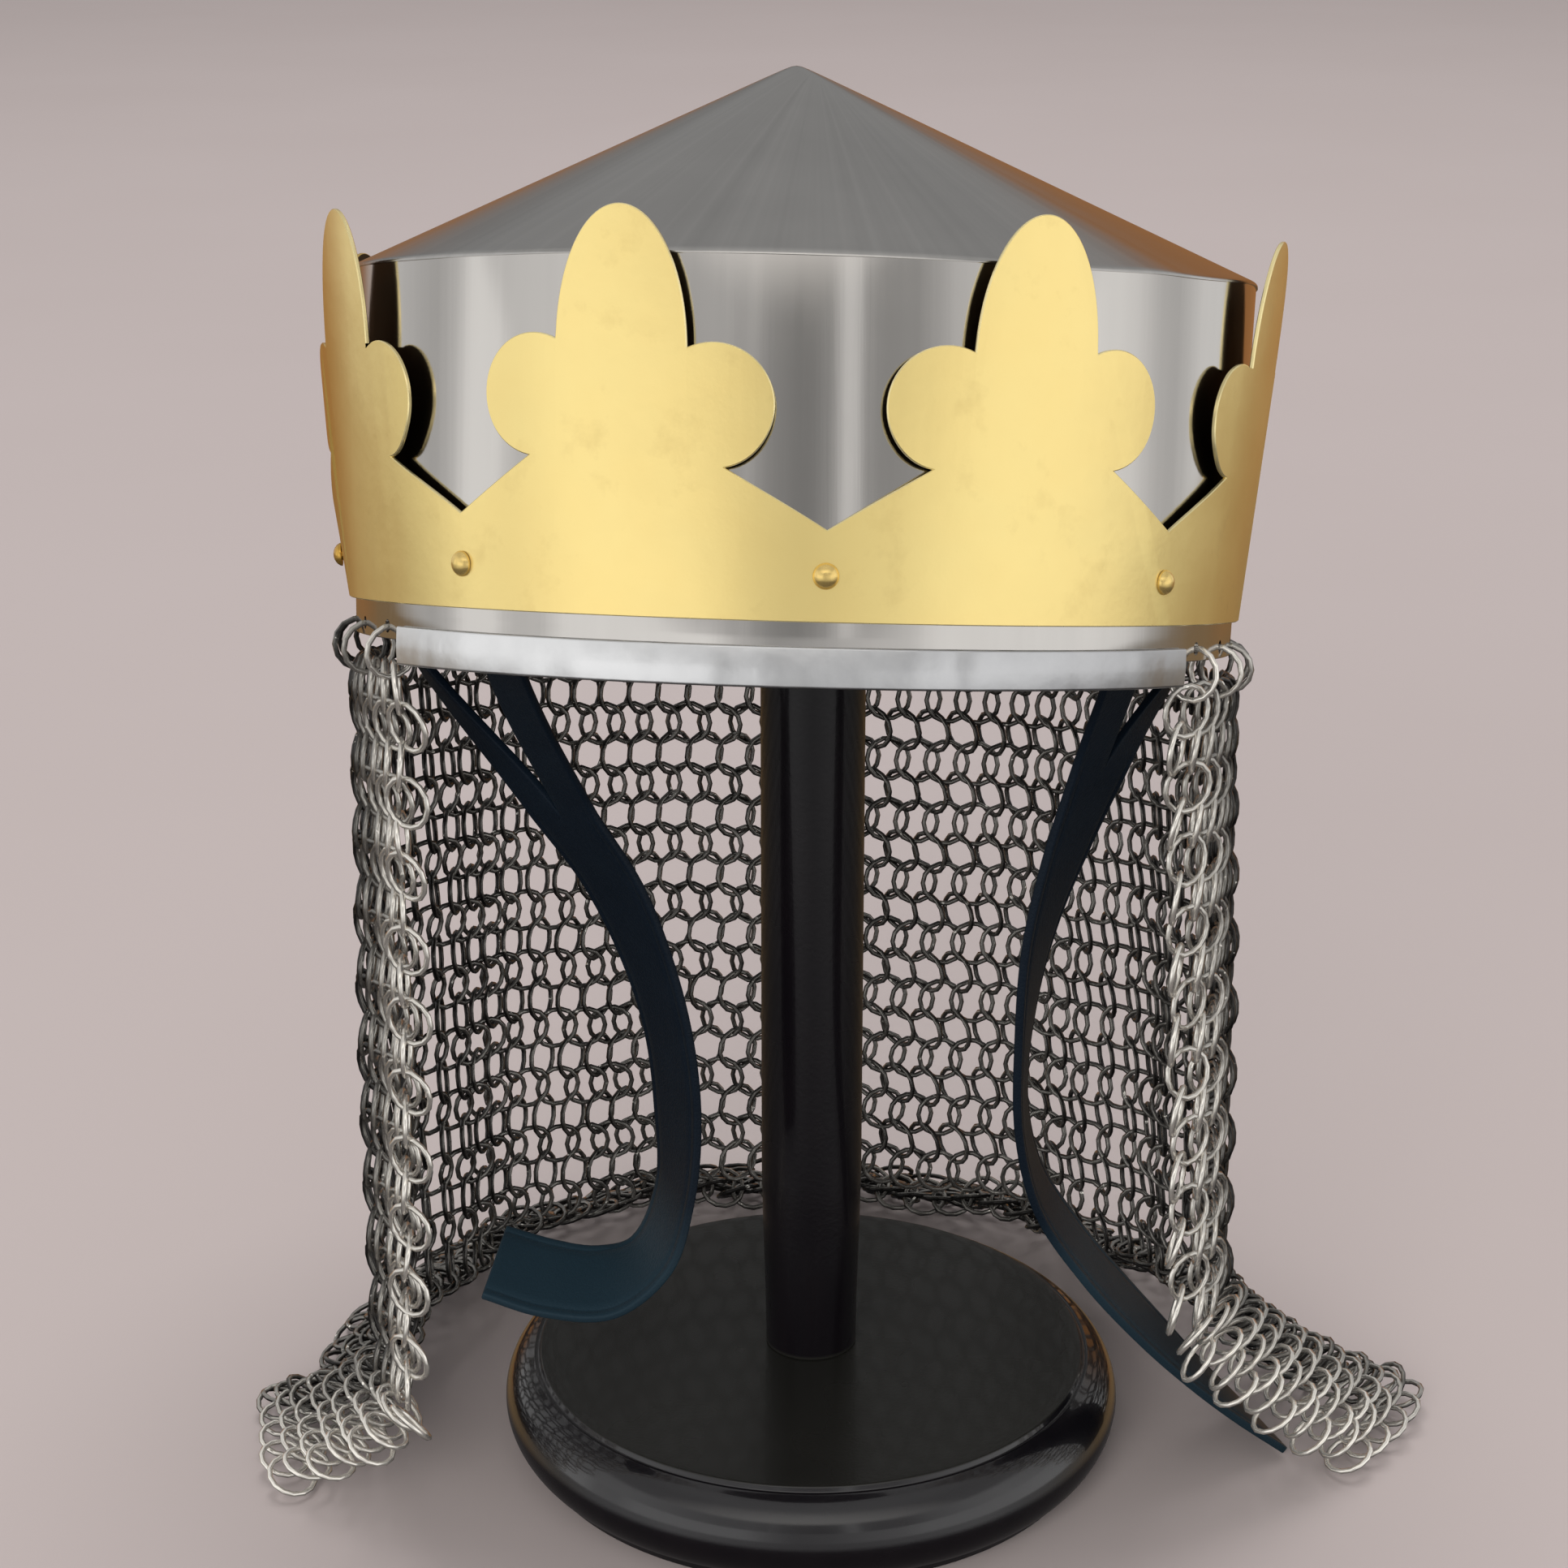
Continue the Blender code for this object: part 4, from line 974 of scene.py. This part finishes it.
def sheet_path(angle):
    """The sheet's run at an angle, from the hole in the drum's edge to the hem on the table."""
    top = SEAT @ oval(angle, HOLE_UP, -STEEL_WALL / 2)
    rise, lean, reach, heading = from_table(HEM_TABLE, min(max(angle, CURTAIN_FROM), CURTAIN_TO))
    rise *= HEM_RISE
    heading = math.radians(heading)
    away = Vector((math.sin(heading), -math.cos(heading), 0.0))
    fold = Vector((top.x, top.y, rise)) + away * (lean * HEM_LEAN)
    path = [top, fold]
    for step in range(1, 25):
        part = step / 24
        path.append(fold + away * (reach * HEM_REACH) * part ** 1.25
                    + Vector((0.0, 0.0, (LYING_HEIGHT - rise) * part)))
    return path


def along_path(path, distance):
    """A point and a direction at a distance along a path."""
    for start, end in zip(path, path[1:]):
        length = (end - start).length
        if distance <= length or end is path[-1]:
            return start + (end - start) * (distance / length), (end - start) / length
        distance -= length


# %% Ring centres and turns
RING_RADIUS = 0.0059
WIRE_RADIUS = 0.00071
ROW_PITCH = 0.009
FIRST_ROW = 0.0143
MAIL_ROWS = 28
# How far every other row is turned and nods, in degrees, and the share of the turn that lying rows keep
ROW_TURN = 22.0
ROW_NOD = 5.0
LYING_TURN = 0.55
# Near its front edges the mail fans out on the table, and its rings lean towards the front
FAN_WIDTH = 50.0
FAN_LEAN = math.radians(30.0)
# The hanging mail stands in slight waves
WAVES = 13
WAVE_DEPTH = 0.002


def row_distances(path):
    """How far along the sheet each row lies; rows on the table are squeezed to fit."""
    lengths = [(b - a).length for a, b in zip(path, path[1:])]
    whole = sum(lengths) - 0.004
    hanging = lengths[0]
    rows = [FIRST_ROW + ROW_PITCH * row for row in range(MAIL_ROWS)]
    if rows[-1] <= whole:
        return [row * whole / rows[-1] if row > FIRST_ROW else row for row in rows]
    room = (whole - hanging) / (rows[-1] - hanging)
    return [row if row <= hanging else hanging + (row - hanging) * room for row in rows]


def from_edge(angle):
    """Degrees to the nearer front edge of the mail."""
    return min(abs(angle - CURTAIN_FROM), abs(CURTAIN_TO - angle))


def sheet_here(angle, row, point, down):
    """The sheet's own directions at a ring: along it, down it and out of it."""
    beside = []
    for step in (-1.0, 1.0):
        side_path = sheet_path(angle + step)
        beside.append(along_path(side_path, row_distances(side_path)[row])[0])
    out = down.cross((beside[1] - beside[0]).normalized()).normalized()
    if out.dot(point - Vector((0.0, 0.01, point.z))) < 0 and abs(out.z) < 0.9:
        out = -out
    if out.z < -0.2:
        out = -out
    return out.cross(down).normalized(), down, out


def place_ring(angle, row):
    """Centre, turn and painted edge light of one ring; it swings and nods in the sheet and stays on the
    table.
    """
    odd = row % 2
    path = sheet_path(angle)
    distances = row_distances(path)
    point, down = along_path(path, distances[row])
    side, down, out = sheet_here(angle, row, point, down)
    pitch_here = distances[row] - distances[row - 1] if row else ROW_PITCH
    squeeze = max(0.0, 1.0 - pitch_here / ROW_PITCH)
    edge = from_edge(angle)
    lying = distances[row] > (path[1] - path[0]).length
    loose = (1.0 if edge < 4.0 else 0.25) + 1.2 * squeeze
    row_turn = (ROW_TURN if odd else -ROW_TURN) * (LYING_TURN if lying else 1.0)
    swing = math.radians(row_turn + random.gauss(0.0, 6.0) * loose)
    nod = math.radians((ROW_NOD if odd else -ROW_NOD) + random.gauss(0.0, 5.0) * loose)
    nod += math.acos(max(1.0 - squeeze, 0.3)) * 0.8
    turn = Matrix((side, down, out)).transposed() @ (Matrix.Rotation(swing, 3, "Y")
                                                     @ Matrix.Rotation(nod, 3, "X"))
    if edge < FAN_WIDTH and lying:
        turn = Matrix.Rotation(-FAN_LEAN * (1.0 - edge / FAN_WIDTH), 3, "X") @ turn
    normal = turn @ Vector((0.0, 0.0, 1.0))
    lowest = RING_RADIUS * math.sqrt(max(1.0 - normal.z ** 2, 0.0)) + WIRE_RADIUS
    wave = math.sin(math.tau * WAVES * angle / 360.0) * math.sin(math.pi * row / MAIL_ROWS)
    centre = point + out * WAVE_DEPTH * wave
    centre += Vector([random.gauss(0.0, 0.00022) * loose for _ in range(3)])
    centre.z = max(centre.z, lowest + 0.0002)
    # Painted light: rings within 26 degrees of a front edge get a share of painted light that lightens them
    # in the finish; the rest stay in painted shade.
    shine = max(0.0, 1.0 - edge / 26.0) + random.uniform(0.0, 0.12)
    return centre, turn.to_euler(), min(1.0, shine)


def make_ring_cloud():
    random.seed(11)
    pitch = (CURTAIN_TO - CURTAIN_FROM) / MAIL_COLUMNS
    rings = []
    for row in range(MAIL_ROWS):
        odd = row % 2
        for column in range(MAIL_COLUMNS + odd):
            rings.append(place_ring(CURTAIN_FROM + pitch * (column + 0.5 - odd * 0.5), row))
    return rings


# %% Hanging rings
def make_hangers():
    """The rings through the drum's holes stand square to its wall, give or take a little."""
    random.seed(23)
    rings = []
    for angle in HOLE_ANGLES:
        out = SEAT.to_3x3() @ outward(angle)
        out = Vector((out.x, out.y, 0.0)).normalized()
        hole = SEAT @ oval(angle, HOLE_UP, -STEEL_WALL / 2)
        side = out.cross(Vector((0.0, 0.0, 1.0)))
        swing = random.gauss(0.0, 0.12)
        normal = (side + Vector((0.0, 0.0, swing)) + out * random.gauss(0.0, 0.1)).normalized()
        # The third value is painted light: hanging rings near a front edge are lightened in the finish.
        rings.append((hole - Vector((0.0, 0.0, RING_RADIUS)), normal.to_track_quat("Z", "Y").to_euler(),
                      max(0.0, 1.0 - from_edge(angle) / 40.0)))
    return rings


rings = make_ring_cloud() + make_hangers()
print("rings:", len(rings))


# %% A tree that makes the rings
def ring_tree(finish):
    """Wire rings on points: the wire is swept round each ring, which is then copied."""
    tree, bench, wanted = new_tree("rings_on_points", Ring_radius="Float", Wire_radius="Float",
                                   Ring_sides="Int", Wire_sides="Int")
    loop, wire = [bench.add("GeometryNodeCurvePrimitiveCircle", {}, {
        "Resolution": wanted[of + " sides"], "Radius": wanted[of + " radius"]}) for of in ("Ring", "Wire")]
    ring = bench.add("GeometryNodeCurveToMesh", {}, {"Curve": loop, "Profile Curve": wire})
    # Which way the wire faces out of the mail, kept as outer: the finish lightens that side as painted light
    # and darkens the inner side as painted shade.
    facing = bench.axis(bench.add("GeometryNodeInputNormal"), "Z")
    ring = bench.add("GeometryNodeStoreNamedAttribute", {"data_type": "FLOAT", "domain": "POINT"}, {
        "Geometry": ring, "Name": "outer", "Value": facing})
    put_copies(bench, wanted["Points"], ring, 1.0, finish)
    return tree


# %% Ring finish
def make_ring_finish():
    """Near-black wire as painted shade, lightened as painted light on the side facing out of the mail and on
    rings near the front edges, with painted glints; a grime noise darkens it at random.
    """
    finish, bench = new_finish("ring_wire", Metallic=0.8)
    place = bench.object_place()
    outer = bench.add("ShaderNodeAttribute", {"attribute_name": "outer"}, output="Fac")
    bright = bench.add("ShaderNodeAttribute", {"attribute_name": "shine"}, output="Fac")
    grime = bench.noise(place, 260.0, 3.0, 0.6)
    # Painted highlights: rare random spots are lightened as glints.
    glint = ((bench.noise(place, 430.0, 2.0) - 0.69) * 24.0).clamped()
    # rub is mostly painted light: the front-edge light, the outer-side light and the glints, less a random
    # grime, lift the near-black painted shade towards pale steel.
    rub = (bright * 1.15 + outer * 0.36 + 0.04 - grime * 0.35 + glint * 0.8).clamped()
    bench.dress(bench.mix(rub, (0.030, 0.028, 0.027), (0.92, 0.88, 0.81)),
                0.26 - rub * 0.06 + (grime - 0.5) * 0.14)
    return finish


# %% Mail
rings_tree = ring_tree(make_ring_finish())
RING_INPUTS = {"Ring radius": RING_RADIUS, "Wire radius": WIRE_RADIUS, "Ring sides": 14, "Wire sides": 5}


def make_mail(name, keep):
    """The rings that keep says yes to, as one plain mesh."""
    centres, turns, shine = zip(*[ring for ring in rings if keep(ring[0])])
    mesh = run_tree(name, centres, {"turn": ("FLOAT_VECTOR", turns), "shine": ("FLOAT", shine)},
                    rings_tree, RING_INPUTS)
    return finished(name, mesh, [], sharp=180.0)


mail_right = make_mail("mail_rings_right", lambda centre: centre.x >= 0.0)
mail_left = make_mail("mail_rings_left", lambda centre: centre.x < 0.0)
HANGER_COUNT = 28
hanger_nodes = [f"mail_hanger_{index + 1:02d}" for index in range(HANGER_COUNT)]
stands_for(mail_right, "mail_steel", "mail_curtain", *hanger_nodes[:HANGER_COUNT // 2])
stands_for(mail_left, "mail_steel", "mail_curtain", *hanger_nodes[HANGER_COUNT // 2:])

# %% [markdown]
# ## The leather straps
# Each strap is one piece of black leather, split at the top into two arms that are riveted inside
# the drum. The middle line of a strap and the turn of its width come from a short table. The
# surface is laid along it, with a creased line pressed in close to each edge, and is then given
# its two millimetres of thickness and softly rounded edges. The low free ends are painted paler as painted
# light.

# %% Leather
def make_leather():
    finish, bench = new_finish("black_leather_finish", Sheen_Weight=0.02, Sheen_Roughness=0.4,
                               Sheen_Tint=(0.35, 0.55, 0.70), Specular_IOR_Level=0.1)
    place = bench.object_place()
    pores = bench.add("ShaderNodeTexVoronoi", {"feature": "DISTANCE_TO_EDGE"},
                      {"Vector": place, "Scale": 900.0})
    soft = bench.noise(place, 60.0, 4.0, 0.6)
    fold = bench.noise(place, 240.0, 3.0, 0.6)
    # Painted light: the leather lightens to a teal grey from 88 mm down, fully below about 71 mm, as if its
    # lower curl caught the light.
    painted_light_low = ((0.088 - bench.axis(place, "Z")) * 60.0).clamped()
    black = bench.mix(soft, (0.0022, 0.0045, 0.009), (0.006, 0.011, 0.018))
    height = (pores * 6.0).clamped() * 0.35 + fold * 0.45 + soft * 0.2
    bench.dress(bench.mix(painted_light_low, black, (0.0125, 0.026, 0.037)), 0.28 + soft * 0.16, height, 0.22, 0.0006)
    return finish


leather = make_leather()

# %% Routes of the straps
STRAP_WIDTH = 0.024
STRAP_WALL = 0.002
# Across, back and up as shares of the helmet's half width, half depth and seat height, then the heading
# and dip of the strap's width, in degrees
LEFT_STRAP = (
    (-0.557, -0.307, 0.873, -38.0, 0.0),
    (-0.455, -0.275, 0.785, -44.0, 0.0),
    (-0.380, -0.263, 0.690, -52.0, 0.0),
    (-0.330, -0.263, 0.590, -58.0, 0.0),
    (-0.313, -0.270, 0.490, -62.0, 0.0),
    (-0.322, -0.300, 0.400, -72.0, 6.0),
    (-0.375, -0.350, 0.338, -86.0, 14.0),
    (-0.480, -0.390, 0.315, -94.0, 18.0),
    (-0.610, -0.400, 0.322, -98.0, 18.0),
    (-0.740, -0.390, 0.340, -100.0, 16.0),
)
RIGHT_STRAP = (
    (0.640, -0.370, 0.945, -130.0, 0.0),
    (0.575, -0.350, 0.845, -122.0, 0.0),
    (0.520, -0.350, 0.745, -112.0, 0.0),
    (0.492, -0.350, 0.640, -102.0, 0.0),
    (0.488, -0.350, 0.520, -96.0, 0.0),
    (0.530, -0.345, 0.430, -95.0, 0.0),
    (0.637, -0.320, 0.340, -95.0, 0.0),
    (0.765, -0.262, 0.250, -93.0, 0.0),
    (0.890, -0.185, 0.166, -88.0, 0.0),
    (1.010, -0.105, 0.088, -80.0, 0.0),
    (1.135, -0.035, 0.016, -70.0, 0.0),
)


def smooth_path(points, steps):
    """A smooth curve through the points."""
    lengths = [(b - a).length for a, b in zip(points, points[1:])]
    slopes = [(b - a) / length for a, b, length in zip(points, points[1:], lengths)]
    tangents = [slopes[0]] + [(a + b) / 2 for a, b in zip(slopes, slopes[1:])] + [slopes[-1]]
    path = []
    for index, length in enumerate(lengths):
        for step in range(steps):
            t = step / steps
            rest = 1.0 - t
            path.append(points[index] * (1.0 + 2.0 * t) * rest ** 2
                        + points[index + 1] * (3.0 - 2.0 * t) * t ** 2
                        + tangents[index] * length * t * rest ** 2
                        - tangents[index + 1] * length * t ** 2 * rest)
    path.append(points[-1])
    return path


def strap_edges(table):
    """The back edge and the front edge of a strap below its fork."""
    middles = [Vector((row[0] * HALF_WIDTH, row[1] * HALF_DEPTH, max(row[2] * SEAT_HEIGHT, 0.0014)))
               for row in table]
    edges = ([], [])
    for index, row in enumerate(table):
        along = (middles[min(index + 1, len(table) - 1)] - middles[max(index - 1, 0)]).normalized()
        heading, dip = math.radians(row[3]), math.radians(row[4])
        across = Vector((math.cos(heading) * math.cos(dip), math.sin(heading) * math.cos(dip),
                         -math.sin(dip)))
        across = (across - along * across.dot(along)).normalized()
        for edge, side in zip(edges, (-0.5, 0.5)):
            edge.append(middles[index] + across * STRAP_WIDTH * side)
    return edges


def arm_ends(index):
    """An arm's two sections that lie on the drum's inner face, above and below its rivet."""
    angle = RIVET_ANGLES[index]
    turn = math.radians(angle)
    to_front = Vector((math.cos(turn), math.sin(turn), 0.0))
    if math.sin(turn) > 0:
        to_front = -to_front
    out = outward(angle)
    to_front = (to_front - out * to_front.dot(out)).normalized()
    lying = -STEEL_WALL - 0.0007 - STRAP_WALL / 2
    sections = []
    for height in (RIVET_UP + 0.007, RIVET_UP - 0.0024):
        middle = oval(angle, height, 0.0) + out * lying
        half = to_front * STRAP_WIDTH / 4
        sections.append((SEAT @ (middle - half), SEAT @ (middle + half)))
    return sections


# %% Straps
CREASE = 0.0022
CREASE_WALL = 0.72
STRAP_LINES = (0.0, 0.035, 0.075, CREASE / STRAP_WIDTH, 0.112, 0.2, 0.35, 0.5)


def make_strap(name, table, front_rivet, back_rivet):
    back_edge, front_edge = (smooth_path(edge, 7) for edge in strap_edges(table))
    lines = list(STRAP_LINES) + [1.0 - share for share in reversed(STRAP_LINES[:-1])]
    middle = len(STRAP_LINES) - 1
    shape = bmesh.new()
    rows = [[shape.verts.new(back.lerp(front, share)) for share in lines]
            for back, front in zip(back_edge, front_edge)]
    join_rows(shape, rows, round_rows=False, round_points=False)
    for rivet, first, last in ((back_rivet, 0, middle), (front_rivet, middle, 2 * middle)):
        columns = range(first, last + 1)
        span = lines[last] - lines[first]
        sides = []
        for side, column in enumerate((first, last)):
            vert = rows[0][column]
            heading = rows[3][column].co - vert.co
            top, low = (section[side] for section in arm_ends(rivet))
            path = smooth_path([top, low, vert.co.copy(), vert.co + heading], 14)
            sides.append([top] + path[14:28])
        made = []
        for left, right in zip(*sides):
            made.append([shape.verts.new(left.lerp(right, (lines[column] - lines[first]) / span))
                         for column in columns])
        made.append([rows[0][column] for column in columns])
        join_rows(shape, made, round_rows=False, round_points=False)
    piece = finished(name, shape, [leather], sharp=180.0)
    groove = piece.vertex_groups.new(name="thickness")
    groove.add([vert.index for vert in piece.data.vertices], 1.0, "REPLACE")
    crease_line = STRAP_LINES.index(CREASE / STRAP_WIDTH)
    creased = [row * len(lines) + column for row in range(len(rows))
               for column in (crease_line, len(lines) - 1 - crease_line)]
    groove.add(creased, CREASE_WALL, "REPLACE")
    add_modifier(piece, "Wall", "SOLIDIFY", thickness=STRAP_WALL, offset=0.0, use_even_offset=True,
                 vertex_group="thickness", thickness_vertex_group=0.0)
    add_modifier(piece, "Soft edges", "BEVEL", width=0.0005, segments=2, limit_method="ANGLE",
                 angle_limit=math.radians(50.0))
    made = settled_mesh(piece)
    piece.modifiers.clear()
    piece.data = made
    made.set_sharp_from_angle(angle=math.radians(60.0))
    return piece


strap_left = make_strap("left_strap", LEFT_STRAP, 7, 6)
strap_right = make_strap("right_strap", RIGHT_STRAP, 1, 2)
stands_for(strap_left, "black_leather", "strap_left")
stands_for(strap_right, "black_leather", "strap_right")
